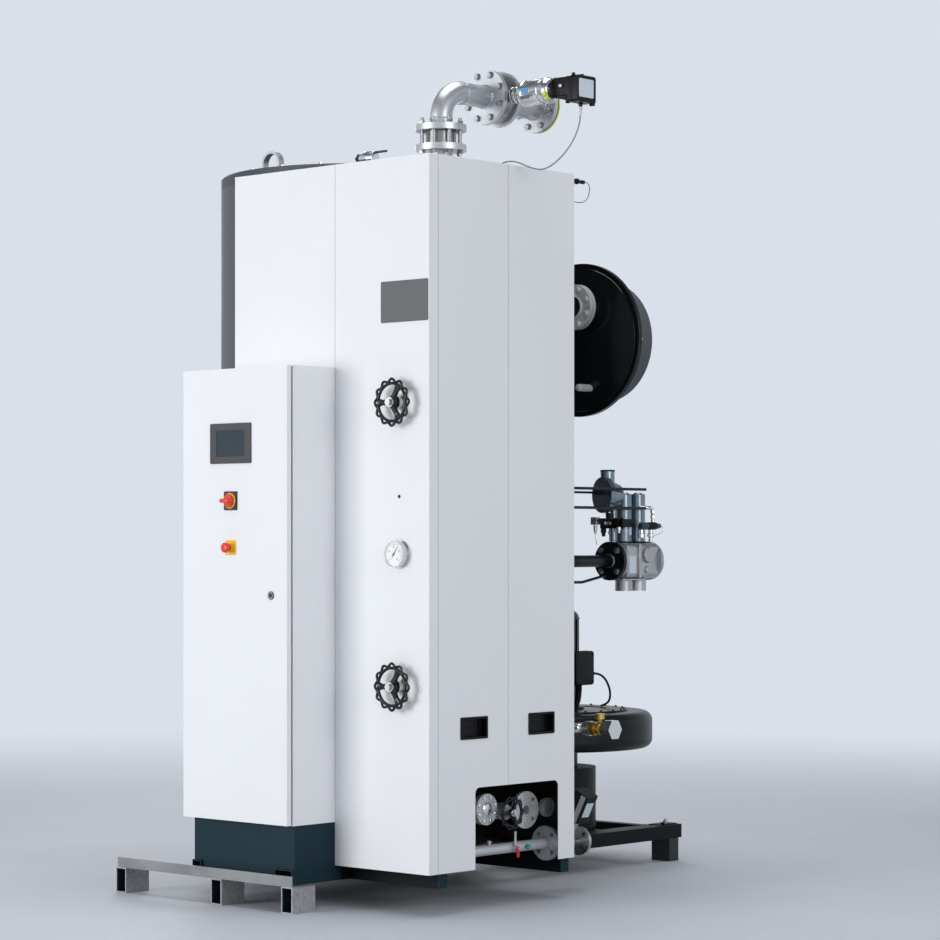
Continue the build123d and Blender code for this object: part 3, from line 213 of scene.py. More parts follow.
class Form:
    """A shape put together from turned, cut and bent blanks, in the machine's millimetres."""

    def __init__(self):
        self.mesh = bmesh.new()
        self.finish = 0

    def skin(self, rings, loop=False):
        """Joins rings of points, each to the next, and closes both ends. A ring of one point is a pole."""
        rings = [[self.mesh.verts.new(point) for point in ring] for ring in rings]
        faces = []
        for a, b in zip(rings, rings[1:] + (rings[:1] if loop else [])):
            for i in range(max(len(a), len(b))):
                corners = [a[i % len(a)], a[(i + 1) % len(a)], b[(i + 1) % len(b)], b[i % len(b)]]
                faces.append(list(dict.fromkeys(corners)))
        if not loop:
            faces += [ring for ring in (rings[0], rings[-1]) if len(ring) > 2]
        for corners in faces:
            self.mesh.faces.new(corners).material_index = self.finish

    def turned(self, start, direction, profile, sides=40, loop=False):
        """A blank turned on a lathe: its profile is (distance along the axis, radius) from end to end."""
        along, u, v = axes(direction)
        self.skin([[Vector(start) + along * distance + radius * swung(u, v, a)
            for a in round_steps(sides if radius > 0 else 1)] for distance, radius in profile], loop)

    def all_turned(self, *blanks):
        for blank in blanks:
            self.turned(*blank)

    def cut(self, start, direction, outline, depth, taper=1.0):
        """A plate cut to an outline of (level, upright) points from the start, as deep as the depth."""
        along, u, v = axes(direction)
        self.skin([[Vector(start) + along * distance + (a * u + b * v) * size for a, b in outline]
            for distance, size in ((0.0, 1.0), (depth, taper))])

    def block(self, x0, x1, y0, y1, z0, z1):
        self.cut((0, 0, z0), UP, [(x0, y0), (x1, y0), (x1, y1), (x0, y1)], z1 - z0)

    def bent(self, points, radius, sides=12, loop=False):
        """A round bar bent along points. The radius may be one number or one for each point."""
        points = [Vector(p) for p in points]
        count = len(points)
        radii = radius if isinstance(radius, list) else [radius] * count
        rings, normal = [], None
        for i, point in enumerate(points):
            before = points[i - 1] if i or loop else point
            after = points[(i + 1) % count] if i < count - 1 or loop else point
            tangent = (after - before).normalized()
            if normal is None:
                normal = axes(tangent)[1]
            normal = (normal - tangent * normal.dot(tangent)).normalized()
            across = tangent.cross(normal)
            rings.append([point + radii[i] * swung(normal, across, a) for a in round_steps(sides)])
        self.skin(rings, loop)

    def bolt(self, point, direction, size, washer=True, stud=0.0):
        """A hexagon head or nut on its washer. The size is its thread's, and a stud may stand out of it."""
        rise = 0.0
        if washer:
            rise = 0.14 * size
            self.turned(point, direction, [(0, size), (rise, size)], 20)
        top = rise + 0.7 * size
        head = [(rise, 0.9 * size), (top - 0.1 * size, 0.9 * size), (top, 0.76 * size)]
        self.turned(point, direction, head, 6)
        if stud:
            thread = [(top - 1.0, 0.5 * size), (top + stud - 1.5, 0.5 * size), (top + stud, 0.36 * size)]
            self.turned(point, direction, thread, 16)

    def ring_of_bolts(self, centre, direction, pcd, count, size, **shape):
        along, u, v = axes(direction)
        for a in round_steps(count, 0.5):
            self.bolt(Vector(centre) + pcd / 2 * swung(u, v, a), direction, size, **shape)


def rounded(width, height, radius, steps=5):
    """The outline of a plate with round corners."""
    outline = []
    for i, (a, b) in enumerate(((1, 1), (-1, 1), (-1, -1), (1, -1))):
        for k in range(steps + 1):
            angle = math.pi / 2 * (i + k / steps)
            outline.append((a * (width / 2 - radius) + radius * math.cos(angle),
                b * (height / 2 - radius) + radius * math.sin(angle)))
    return outline


def piece(name, form, finishes, slot=None, body="machine", replaces=(), edge=0.0, sharp=32.0):
    """Makes a form into one piece that rides on a body, with its sharp edges broken by a small round."""
    bmesh.ops.recalc_face_normals(form.mesh, faces=form.mesh.faces)
    for corner in form.mesh.verts:
        corner.co = at(corner.co)
    for face in form.mesh.faces:
        face.smooth = True
    for line in form.mesh.edges:
        line.smooth = len(line.link_faces) == 2 and line.calc_face_angle() < math.radians(sharp)
    mesh = bpy.data.meshes.new(name)
    form.mesh.to_mesh(mesh)
    form.mesh.free()
    for material in finishes if isinstance(finishes, list) else [finishes]:
        mesh.materials.append(material)
    made = placed(name, mesh)
    if edge:
        rounding = made.modifiers.new("broken edge", "BEVEL")
        rounding.width = edge / 1000
        rounding.segments = 2
        rounding.limit_method = "ANGLE"
        rounding.angle_limit = math.radians(sharp)
        rounding.use_clamp_overlap = True
    if body:
        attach(made, body)
    if replaces:
        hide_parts(*replaces)
    return made


def turned_piece(name, finishes, slot, *blanks, **more):
    """A piece made of turned blanks only, each a start, direction, profile, number of sides and HOLLOW."""
    form = Form()
    form.all_turned(*blanks)
    return piece(name, form, finishes, slot, **more)


def dress(material, *names):
    """Gives CAD nodes their finish."""
    for name in names:
        mesh = nodes[name].data
        mesh.materials.clear()
        mesh.materials.append(material)


signal_relief = turned_piece(
    "signal_cable_relief", relief_white, "cable_rubber",
    ((274, 571, 3136), DOWN, [(0, 6.8), (9, 6.6), (11, 5.0), (26, 4.0), (33, 3.3), (33, 2.4)], 20))
cable("signal_cable", [
    (0.771, 0.784, 3.135), (0.771, 0.784, 3.097), (0.762, 0.781, 3.051), (0.737, 0.774, 2.997),
    (0.687, 0.762, 2.939), (0.621, 0.744, 2.897), (0.563, 0.724, 2.909), (0.509, 0.706, 2.938),
    (0.467, 0.690, 2.941), (0.427, 0.682, 2.926), (0.397, 0.678, 2.894), (0.393, 0.678, 2.853)],
    0.006, cable_grey)
motor_relief = turned_piece(
    "motor_cable_relief", cable_black, "cable_rubber",
    ((-690, 1779.0, 851), BACK, [(0, 12), (3, 12)], 6),
    ((-690, 1782.0, 851), BACK, [(0, 10), (7, 9.5), (9, 8.2), (24, 6.6), (27, 5.4), (27, 4)], 24))
cable("motor_cable", [
    (-0.193, 1.9925, 0.851), (-0.193, 2.0325, 0.851), (-0.194, 2.0765, 0.838), (-0.197, 2.1125, 0.808),
    (-0.205, 2.1425, 0.768), (-0.221, 2.1605, 0.730), (-0.251, 2.1745, 0.706), (-0.291, 2.1825, 0.6963)],
    0.010, cable_black)


# The skid is welded from rectangular steel tube and sprayed dark blue-black; behind the front, under the
# casing, its colour turns near black, which is painted shade. It stands on square steel feet, zinc-dipped,
# that are made near-black at the rear, where bolts hold them, which is painted shade under the machine. Thin
# dark sheets inside the front feet's open ends are painted shade in the tubes. A bare steel angle lies across
# the front ones.
CASING_INSIDE = ((-0.589, 0.4951), (0.2151, 1.0651), (-1.0, 2.9123))
BEHIND_FRONT = ((-2.0, 0.46), (0.25, 3.0), (-1.0, 0.9))
MASK_EDGE = 0.0001
DUST = (0.16, 0.16, 0.155, 1)


def sprayed(name, colour, roughness, peel, strength, dust, gloss, painted_shade_colour=None, where=CASING_INSIDE):
    """Wet-sprayed or powder-coated paint: a faint orange peel, with dust that dulls it near the floor.
    Within a box of the file's metres it may take a near-black colour instead: painted shade, where the parts
    around keep the light out."""
    finish = Finish(name, coat_weight=0.0, specular_ior_level=gloss)
    cloud = finish.noise(2.2, 4.0)
    low = (1.0 - finish.along("Z").over(0.02, 0.9)) * finish.noise(7.0, 6.0)
    soiled = (low * dust).tint(cloud.tint(shade(colour, 0.975), shade(colour, 1.02)), DUST)
    # painted shade: inside the box the paint's colour is swapped for the given near-black one
    if painted_shade_colour:
        for axis, (start, end) in zip("XYZ", where):
            spot = finish.along(axis)
            part = spot.over(start, start + MASK_EDGE) * (1.0 - spot.over(end, end + MASK_EDGE))
            shade_mask = part if axis == "X" else shade_mask * part
        soiled = shade_mask.tint(soiled, (*painted_shade_colour, 1))
    finish.feed(base_color=soiled, roughness=cloud * 0.1 + low * 0.2 + (roughness - 0.05))
    finish.bump(finish.noise(peel, 2.0), strength, 0.0006)
    return finish.material


def bare_metal(name, colour, roughness, mottle, spread, scratch=None, strength=0.12, metallic=1.0):
    """Bare steel or aluminium: patches of duller oxide, fine tool marks and handling scratches."""
    finish = Finish(name, metallic=metallic)
    patch = finish.noise(mottle, 6.0)
    marks = finish.noise(160.0, 4.0, scratch)
    finish.feed(base_color=patch.tint(shade(colour, 1.0 - spread), shade(colour, 1.0 + 0.5 * spread)),
        roughness=patch * 0.2 + marks * 0.16 + (roughness - 0.16))
    finish.bump(marks, strength, 0.0005)
    return finish.material


def galvanised(name, pale, dark):
    """Hot-dip zinc: flat crystals of slightly different greys. The feet at the rear get a near-black,
    non-metallic colour instead, which is painted shade.
    """
    finish = Finish(name)
    rear_shade = finish.along("Y").over(1.0, 1.1)
    crystal = finish.node("ShaderNodeTexVoronoi", None, {"Vector": finish.place, "Scale": 95.0}, "Color")
    share = finish.node("ShaderNodeSeparateColor", None, {0: crystal})
    cloud = finish.noise(14.0, 5.0)
    zinc_tone = (share * 0.6 + cloud * 0.4).tint((dark, dark, dark * 1.03, 1), (pale, pale, pale * 1.02, 1))
    # painted shade: towards the rear the zinc turns near-black and loses its metal
    finish.feed(base_color=rear_shade.tint(zinc_tone, (0.008, 0.015, 0.018, 1)), metallic=0.7 - rear_shade * 0.7,
        roughness=share * 0.14 + cloud * 0.2 + 0.3)
    finish.bump(finish.noise(120.0, 3.0), 0.12, 0.0006)
    return finish.material


# Behind the front and below 0.9 m the skid's colour is near black: painted shade under the casing and boiler.
skid_paint = sprayed("skid paint", (0.006, 0.026, 0.038), 0.42, 180.0, 0.16, 0.04, 0.15,
    (0.003, 0.005, 0.007), BEHIND_FRONT)
zinc_bolts = bare_metal("zinc-plated bolts", (0.50, 0.50, 0.49), 0.26, 60.0, 0.3)
dress(skid_paint, "skid_frame", "cabinet_plinth")
dress(galvanised("galvanised feet", 0.50, 0.30), "skid_feet")
dress(bare_metal("bare bar steel", (0.30, 0.305, 0.31), 0.42, 7.0, 0.35, (1, 8, 8)), "front_bar")

BEAM_WIDTH, BEAM_TOP = 46, 167.2
welds = Form()
for x, beam in ((-512, 87), (-512, 808), (-612, 808), (-612, 1717), (-612, 2027), (-1038, 808),
        (-1038, 1717), (-1038, 2027)):
    for y in (beam, beam + BEAM_WIDTH):
        for z in range(106, 163, 6):
            welds.turned((x - 3, y, z), UP, [(0, 2.2), (2.5, 3.6), (5.6, 2.2)], 8)
piece("skid_welds", welds, skid_paint, "dark_paint")
skid_bolts = Form()
plates = Form()
for bolt_x, foot_x in ((-575, -562), (-1403, -1390)):
    skid_bolts.bolt((bolt_x, 2166, BEAM_TOP), UP, 12, stud=8)
    plates.block(foot_x - 34, foot_x + 34, 2072, 2192, BEAM_TOP - 4, BEAM_TOP)
    plates.bolt((foot_x + 24, 2100, BEAM_TOP), UP, 10)
plates.turned((-511.9, -125, 133), RIGHT, [(0, 9), (1.2, 9), (2.0, 7.4), (2.0, 0)], 20)
piece("skid_bolts", skid_bolts, zinc_bolts, "steel")
piece("skid_plates", plates, skid_paint, "dark_paint", edge=1.0)
# Thin dark sheets inside the front feet's open ends: painted shade in the tubes.
shade_sheets = Form()
for right in (-466, -870, -1446):
    for x0, x1, z0, z1 in ((56.5, 5.5, 5.0, 5.6), (56.9, 56.3, 5.6, 97.5), (5.7, 5.1, 5.6, 97.5),
            (56.5, 5.5, 97.2, 97.8)):
        shade_sheets.block(right - x0, right - x1, -274.0, -151.5, z0, z1)
piece("foot_shade_sheets", shade_sheets, skid_paint, "dark_paint")


# The boiler is a round pressure vessel in a jacket of grey painted sheet over its insulation. The jacket is
# rolled in rings, lapped at the back and riveted. Its lid is bolted on top and carries a lifting eye.
# Where the jacket stands inside the casing it is near-black: painted shade behind the sheets.
jacket_paint = sprayed("jacket paint", (0.072, 0.078, 0.087), 0.46, 120.0, 0.10, 0.1, 0.35,
    (0.008, 0.008, 0.009))
dress(jacket_paint, "boiler_shell", "boiler_bottom")
dress(sprayed("lid paint", (0.05, 0.06, 0.07), 0.5, 120.0, 0.10, 0.0, 0.3), "boiler_top")
dress(bare_metal("forged steel", (0.52, 0.52, 0.51), 0.36, 18.0, 0.3), "lifting_eye")
boiler_x, boiler_y, boiler_radius, lid_top = -1026, 680, 600, 2965
seam_heights = (905, 1580, 2255, 2880)


def on_jacket(angle, out):
    """A point's X and Y on the jacket. The angle is 0 at the back and grows towards the left side."""
    a = math.radians(90 + angle)
    return boiler_x + (boiler_radius + out) * math.cos(a), boiler_y + (boiler_radius + out) * math.sin(a)


jacket_seams = Form()
for z in seam_heights:
    jacket_seams.skin([[(*on_jacket(a, out), z + rise) for rise, out in
        ((-17, 0.2), (-17, 0.9), (17, 0.9), (17, 0.2))] for a in range(-16, 84, 4)])
jacket_seams.skin([[(*on_jacket(a, out), z) for a, out in ((58, 0.2), (58, 1.6), (61, 1.6), (61, 0.2))]
    for z in (250, 2912)])
piece("jacket_seams", jacket_seams, jacket_paint, "grey_jacket")
rivets = Form()
spots = [(59.5, z, 1.4) for z in range(290, 2900, 92)]
spots += [(angle, z, 0.8) for z in seam_heights for angle in range(-12, 74, 12)]
for angle, z, out in spots:
    x, y = on_jacket(angle, out)
    rivets.turned((x, y, z), (x - boiler_x, y - boiler_y, 0), [(0, 4.6), (1.4, 4.0), (2.4, 2.0)], 10)
piece("jacket_rivets", rivets, zinc_bolts, "grey_jacket")
lid_bolts = Form()
lid_bolts.ring_of_bolts((boiler_x, boiler_y, lid_top), UP, 2 * (boiler_radius - 34), 20, 10)
lid_bolts.block(-1268, -1198, 331, 369, lid_top, lid_top + 4)
for x in (-1260, -1206):
    lid_bolts.bolt((x, 360, lid_top + 4), UP, 6, washer=False)
piece("lid_bolts", lid_bolts, zinc_bolts, "steel")


# The vent valve on the lid is a small chromed lever valve on a short pipe with a hexagon union. Its flat
# dark steel lever lies level to the right, and a cross handle sticks out of the left end.
chrome = bare_metal("chromed fitting", (0.72, 0.73, 0.74), 0.2, 30.0, 0.12)
dark_steel = bare_metal("blackened steel", (0.09, 0.095, 0.105), 0.42, 20.0, 0.3)
turned_piece(
    "vent_valve_body", chrome, "steel",
    ((-992, 680, lid_top), UP, [(0, 30), (6, 30), (8, 17), (66, 17), (68, 24)], 28),
    ((-992, 680, 3012), UP, [(0, 25), (14, 25)], 6),
    ((-1031, 680, 3061), RIGHT, [(0, 20), (2, 26), (14, 27), (20, 29.5), (58, 29.5), (64, 27), (76, 26),
                                 (78, 22)], 36),
    ((-992, 680, 3084), UP, [(0, 12), (7, 12)], 6), edge=0.5)
lever = Form()
lever.turned((-966, 680, 3083), RIGHT, [(0, 4.2), (3, 5), (78, 5), (81, 3.6)], 16)
lever.turned((-1053, 680, 3061), RIGHT, [(0, 17), (3, 24), (21, 24), (24, 19)], 6)
lever.cut((-1047, 680, 3061), LEFT, [(-24, -3), (-8, -9), (0, -5), (8, -9), (24, -3), (24, 3), (8, 9),
    (0, 5), (-8, 9), (-24, 3)], 5)
piece("vent_valve_lever", lever, dark_steel, "steel", replaces=["vent_valve"], edge=0.6)


# The casing is folded from steel sheet and powder-coated white: two front panels, two side panels, a back
# panel and a top plate. The panels hang with narrow open seams, and the front right one wraps round the
# corner. A temperature probe with a thin wire loop stands out of the back panel.
# Inside the casing's box, on the sheets' returns and inner faces, the white turns near-black: painted shade.
casing_white = sprayed("white powder coat", (0.80, 0.81, 0.83), 0.42, 330.0, 0.07, 0.03, 0.4,
    (0.015, 0.015, 0.016))
dress(casing_white, "front_panel_left", "front_panel_right", "side_panel_front", "side_panel_back",
    "casing_back_panel", "casing_top_plate", "cabinet_body", "cabinet_door_panel")
plate_grey = bare_metal("anodised name plate", (0.10, 0.10, 0.105), 0.5, 3.0, 0.08, (1, 1, 40), 0.05, 0.2)
grip_black = moulded("black grip plastic", (0.004, 0.004, 0.005), 0.4, 500.0, gloss=0.2)
front_x, casing_back, probe_x, probe_z = -158, 854.2, -40, 2904
name_plate = Form()
name_plate.cut((-130, -0.2, 2365.5), FRONT, rounded(252, 160, 6), 1.6)
piece("name_plate", name_plate, plate_grey, "aluminium", edge=0.3)
turned_piece("sample_port", cable_black, "black_plastic", (
    (front_x, -0.2, 1613), FRONT, [(0, 7), (0.8, 7), (1.4, 5.4), (1.4, 3.2), (-3, 3.2)], 20))
turned_piece("back_panel_screws", zinc_bolts, "steel", *(
    ((x, casing_back - 0.2, z), BACK, [(0, 6), (1.4, 5.4), (2.6, 3.2)], 14)
    for z in range(260, 2900, 240) for x in (-38, -432)))
probe = Form()
probe.turned((probe_x, casing_back, probe_z), BACK,
    [(0, 9), (3, 9), (4, 5), (44, 5), (46, 8), (50, 8), (52, 4)], 20)
probe.turned((probe_x, 905, probe_z), BACK, [
    (0, 3), (2, 9.3), (6, 11.6), (12, 12.4), (18, 11.6), (22, 9.3), (24, 7), (36, 6), (38, 8), (56, 8),
    (60, 4), (62, 0)], 28)
loop_points = ((966, 2904), (980, 2905), (994, 2898), (999, 2880), (993, 2852), (975, 2830), (948, 2820),
    (918, 2818), (886, 2822), (855, 2826))
probe.bent([(probe_x, y, z) for y, z in loop_points], 1.5, 8)
probe.turned((probe_x, casing_back, 2826), BACK, [(0, 6), (5, 6), (7, 3), (7, 0)], 16)
piece("top_probe", probe, grip_black, "black_plastic")


# The grips are black moulded cups snapped into the side panels, for lifting the panels off. Each has a thin
# rim that lies on the sheet and a rib across the middle of its floor.
dress(grip_black, "grip_cups")
grip_ribs = Form()
for y in (254, 652):
    grip_ribs.block(-25.4, -21.5, y - 52, y + 52, 713, 717)
    for end in (y - 56, y + 53):
        grip_ribs.block(-25.4, -19.0, end, end + 3, 688, 742)
piece("grip_ribs", grip_ribs, grip_black, "black_plastic", edge=0.6)


# The two handwheels on the front are moulded black with a waved rim, pierced by a slot under each wave, and
# three spokes. A steel washer and nut hold each wheel on its valve's stem.
wheel_black = moulded("glossy black handwheel", (0.005, 0.005, 0.006), 0.24, 300.0, 0.10, 0.1, 0.3)
stem_steel = bare_metal("turned stem steel", (0.66, 0.66, 0.65), 0.22, 24.0, 0.15)
dress(stem_steel, "valve_stems")


def handwheel(name, centre, direction, radius, waves, first_spoke, half, hub, hub_half, body, bore):
    """A waved wheel: two rims that meet in each hollow, three flat tapered spokes and a turned hub."""
    along, u, v = axes(direction)
    centre = Vector(centre)

    def spot(r, angle):
        return centre + r * swung(u, v, angle)

    wave, thick = 0.058 * radius, 0.055 * radius
    outer = radius - wave - thick
    inner = outer - wave - 1.3 * thick
    wheel = Form()
    turns = round_steps(waves * 12)
    wheel.bent([spot(outer + wave * math.cos(waves * a), a) for a in turns], thick, 12, loop=True)
    wheel.bent([spot(inner, a) for a in turns[::2]], 1.15 * thick, 12, loop=True)
    for a in round_steps(waves, 0.5):
        wheel.bent([spot(inner, a), spot(outer - wave, a)], 0.9 * thick, 10)
    for i in range(3):
        a = first_spoke + 2 * math.pi * i / 3
        across = -math.sin(a) * u + math.cos(a) * v
        wheel.skin([[spot(r, a) + across * (x * w * radius) + along * (y * t * half) for x, y in
             ((-1, 0.4), (-0.7, 1), (0.7, 1), (1, 0.4), (1, -0.4), (0.7, -1), (-0.7, -1), (-1, -0.4))]
            for r, w, t in ((0.8 * hub, 0.15, 0.52), (0.34 * radius, 0.115, 0.5),
                            (0.52 * radius, 0.115, 0.42), (0.66 * radius, 0.16, 0.42),
                            (inner, 0.2, 0.4))])
    wheel.turned(centre, direction, [
        (-hub_half, bore), (-hub_half, hub - 2), (2 - hub_half, hub), (hub_half - 6, hub),
        (hub_half - 4, hub - 2), (hub_half - 4, bore)], 32, HOLLOW)
    piece(name + "_rim", wheel, wheel_black, "black_plastic", body, [name], sharp=44.0)
    turned_piece(name + "_washer", stem_steel, "steel", (centre, direction, [
        (hub_half - 4, bore), (hub_half - 4, hub - 1), (hub_half - 0.8, hub - 1), (hub_half, hub - 2),
        (hub_half, bore)], 32, HOLLOW), body=body)


wheel_heights = {"upper": 1975, "lower": 880}
for level, z in wheel_heights.items():
    handwheel(level + "_handwheel", (front_x, -42, z), FRONT, 96, 12, math.pi, 16, 21, 15,
        level + "_wheel", 9.08)
turned_piece("bonnet_rings", chrome, "steel", *(
    ((front_x, -1, z), FRONT, [(0, 28.2), (0, 34), (2.5, 34), (4, 32), (4, 28.2)], 36, HOLLOW)
    for z in wheel_heights.values()))


# The pressure gauge sits in a hole of the front panel. It has a polished steel case, a white enamelled dial
# with printed ticks and numbers, a black pointer and a flat glass.
case_steel = bare_metal("polished case steel", (0.70, 0.70, 0.71), 0.18, 20.0, 0.10)
dial_white = moulded("white dial enamel", (0.86, 0.86, 0.85), 0.4, 400.0, 0.03)
ink_black = moulded("black dial ink", (0.015, 0.015, 0.016), 0.5)
gauge_z, dial_start, dial_sweep, dial_radius = 1391, 225, 270, 40
dress(case_steel, "pressure_gauge")
turned_piece("gauge_dial", dial_white, "steel",
    ((front_x, -30.2, gauge_z), FRONT, [(0, 44.6), (0.8, 44.6)], 64))
marks = Form()


def dial_mark(y, degrees, outline, depth):
    """A flat mark on the dial, with its outline turned to an angle about the dial's centre."""
    c, s = math.cos(math.radians(degrees)), math.sin(math.radians(degrees))
    marks.cut((front_x, y, gauge_z), FRONT, [(a * c - b * s, a * s + b * c) for a, b in outline], depth)


for i in range(41):
    inside = dial_radius - (8.0 if i % 10 == 0 else 5.5 if i % 5 == 0 else 3.2)
    wide = 0.75 if i % 10 == 0 else 0.4
    dial_mark(-31.0, dial_start - dial_sweep * i / 40, [
        (dial_radius, -wide), (dial_radius, wide), (inside, wide), (inside, -wide)], 0.2)
dial_mark(-31.6, 52, [(-14, -1.8), (-14, 1.8), (24, 1.3), (36, 0.25), (36, -0.25), (24, -1.3)], 0.5)
marks.turned((front_x, -31.0, gauge_z), FRONT, [(0, 4.2), (1.6, 4.2), (2.0, 3.4)], 20)
piece("gauge_marks", marks, ink_black, "steel")
for i in range(5):
    figure = bpy.data.curves.new("gauge number", "FONT")
    figure.body = str(10 * i)
    figure.size = 0.0085
    figure.align_x = "CENTER"
    figure.align_y = "CENTER"
    figure.extrude = 0.0001
    figure.materials.append(ink_black)
    angle = math.radians(dial_start - dial_sweep * i / 4)
    printed = placed(f"gauge_number_{10 * i}", figure)
    printed.location = at((front_x + 26.5 * math.cos(angle), -31.15, gauge_z + 26.5 * math.sin(angle)))
    printed.rotation_euler = (math.pi / 2, 0, 0)
    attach(printed, "machine")
turned_piece("gauge_flange_ring", case_steel, "steel", (
    (front_x, -1.2, gauge_z), FRONT, [(0, 51.05), (0, 56), (1.6, 56), (3.0, 54.5), (3.0, 51.05)], 64, HOLLOW))


# The control cabinet stands on its plinth in front of the casing, a welded sheet box with a flanged door on
# concealed hinges. The door holds the operating display, the main switch, the stop button and a lock.
dress(bare_metal("plated hinge steel", (0.6, 0.6, 0.58), 0.3, 40.0, 0.15), "cabinet_hinges")
dress(moulded("dark display bezel", (0.045, 0.047, 0.050), 0.42, 700.0), "display")
dress(bare_metal("chromed lock", (0.55, 0.56, 0.58), 0.22, 50.0, 0.15), "door_lock")
screen_glass = Finish("display glass", roughness=0.06, specular_ior_level=0.5, coat_weight=0.3)
screen_glass.feed(base_color=screen_glass.noise(6.0).tint((0.008, 0.022, 0.034, 1), (0.011, 0.030, 0.045, 1)))
switch_black = moulded("switch plate plastic", (0.018, 0.018, 0.030), 0.35, 600.0)
switch_yellow = moulded("yellow switch plastic", (0.85, 0.50, 0.015), 0.32, 600.0, 0.06)
switch_red = moulded("red switch plastic", (0.72, 0.045, 0.012), 0.30, 600.0, 0.06, 0.2)
panel_x, door_face, switch_z, stop_z = -830, -260, 1600, 1415
screen = Form()
screen.cut((panel_x, -263.45, 1826.5), FRONT, rounded(164.6, 103.6, 1.0), 0.6)
piece("display_screen", screen, screen_glass.material, "black_plastic", "door")

plate = Form()
plate.cut((panel_x, door_face, switch_z), FRONT, rounded(75, 75, 3), 5.0, 0.985)
piece("switch_plate", plate, switch_black, "black_plastic", "door", ["control_plates"], edge=0.6)
collars = Form()
collars.turned((panel_x, -265, switch_z), FRONT, [(0, 31), (3.6, 31), (5, 29.4), (5, 20)], 48)
collars.cut((panel_x, door_face, stop_z), FRONT, rounded(58, 58, 3), 4.0, 0.985)
collars.turned((panel_x, -264, stop_z), FRONT, [(0, 11.35), (0, 17), (7.0, 17), (8, 16), (8, 11.35)], 40,
    HOLLOW)
piece("yellow_collars", collars, switch_yellow, "red_plastic", "door", edge=0.5)
knob = Form()
knob.turned((panel_x, -270.3, switch_z), FRONT, [(0, 27), (7, 26.4), (10, 24)], 48)
knob.skin([[(panel_x + a, -270.3 - out, switch_z + b) for a, b in rounded(2 * w, 2 * h, 0.95 * h, 4)]
    for out, w, h in ((2, 27.0, 9.0), (24, 26.6, 8.8), (30, 25.6, 8.0), (33, 23.5, 6.4),
                      (34, 20.0, 4.0))])
piece("switch_grip", knob, switch_red, "red_plastic", "main_switch", ["switch_knob"], edge=0.5)
pointer = Form()
pointer.cut((-852, -304.1, switch_z), FRONT, rounded(8, 5, 1.5), 0.2)
pointer.block(-857.2, -856.8, -300, -280, 1597.5, 1602.5)
piece("switch_pointer", pointer, relief_white, "red_plastic", "main_switch")

turned_piece(
    "stop_mushroom", switch_red, "red_plastic",
    ((panel_x, -269.4, stop_z), FRONT, [(0, 11), (10.9, 11), (12.6, 12)], 40),
    ((panel_x, -282, stop_z), FRONT, [(0, 17.5), (1.5, 19.6), (4, 20), (12, 20), (15, 19.2), (17.4, 16.5),
                                      (18.6, 11), (19, 0)], 48),
    body="stop", replaces=["stop_button"])
turned_piece(
    "lock_insert", switch_black, "black_plastic",
    ((-600, -262.2, 1229), FRONT, [(0, 13.2), (0, 16), (1.6, 16), (2.6, 14.6), (2.6, 13.2)], 40, HOLLOW),
    ((-600, -264.0, 1229), FRONT, [(0, 9.6), (0.4, 9.6)], 32), body="door")


# The steam outlet is welded pipe, primed with aluminium paint: the riser, a check valve held between two
# flanges by eight long studs, and the elbow. Thin gaskets lie between the flanges' faces, and a black disc
# and a yellow cap close the open end.
outlet_silver = bare_metal("aluminium paint", (0.52, 0.535, 0.56), 0.36, 9.0, 0.16, metallic=0.8)
body_steel = bare_metal("machined valve steel", (0.30, 0.30, 0.30), 0.28, 16.0, 0.35)
cap_yellow = moulded("yellow protection cap", (0.72, 0.70, 0.02), 0.4, 300.0)
dress(outlet_silver, "outlet_riser", "outlet_elbow", "outlet_spool")
dress(body_steel, "check_valve", "steam_valve")
outlet_x, riser_y, outlet_z = -140, 216, 3205


def weld_ring(form, centre, direction, radius, size):
    """A bead of weld round a pipe, with the small waves of its passes."""
    along, u, v = axes(direction)
    form.bent([Vector(centre) + (radius + 0.3 * size * math.sin(18 * a)) * swung(u, v, a)
        for a in round_steps(72)], size, 8, loop=True)


seams = Form()
for z, radius, size in ((3066, 45.5, 3.2), (3091, 44.6, 2.4)):
    weld_ring(seams, (outlet_x, riser_y, z), UP, radius, size)
for y, radius, size in ((330, 44.6, 2.4), (465, 45.5, 3.2), (571.5, 58.2, 3.2), (769.5, 58.2, 3.2)):
    weld_ring(seams, (outlet_x, y, outlet_z), BACK, radius, size)
piece("outlet_welds", seams, outlet_silver, "steel")
bolts = Form()
for y, direction, stud in ((466, FRONT, 0), (570.6, BACK, 8), (770.6, FRONT, 0)):
    bolts.ring_of_bolts((outlet_x, y, outlet_z), direction, 180, 8, 15, stud=stud)
piece("outlet_flange_bolts", bolts, zinc_bolts, "steel")
gaskets = Form()
for y in (486.15, 550.45):
    gaskets.turned((outlet_x, y - 0.9, outlet_z), BACK, [(0, 41), (0, 79), (1.8, 79), (1.8, 41)], 48, HOLLOW)
for z in (2987.0, 3041.0):
    gaskets.turned((outlet_x, riser_y, z - 1.0), UP, [(0, 41), (0, 66), (2.0, 66), (2.0, 41)], 48, HOLLOW)
piece("outlet_gaskets", gaskets, cable_black, "steel")
cap = Form()
cap.turned((outlet_x, 790.7, outlet_z), BACK, [(0, 107), (6, 107), (7, 105), (7, 0)], 64)
cap.finish = 1
cap.turned((outlet_x, 797.8, outlet_z), BACK, [
    (0, 100), (0, 109), (6, 109), (7.5, 107), (7.5, 62), (5, 56), (5, 0)], 64)
piece("outlet_cap", cap, [cable_black, cap_yellow], "steel")


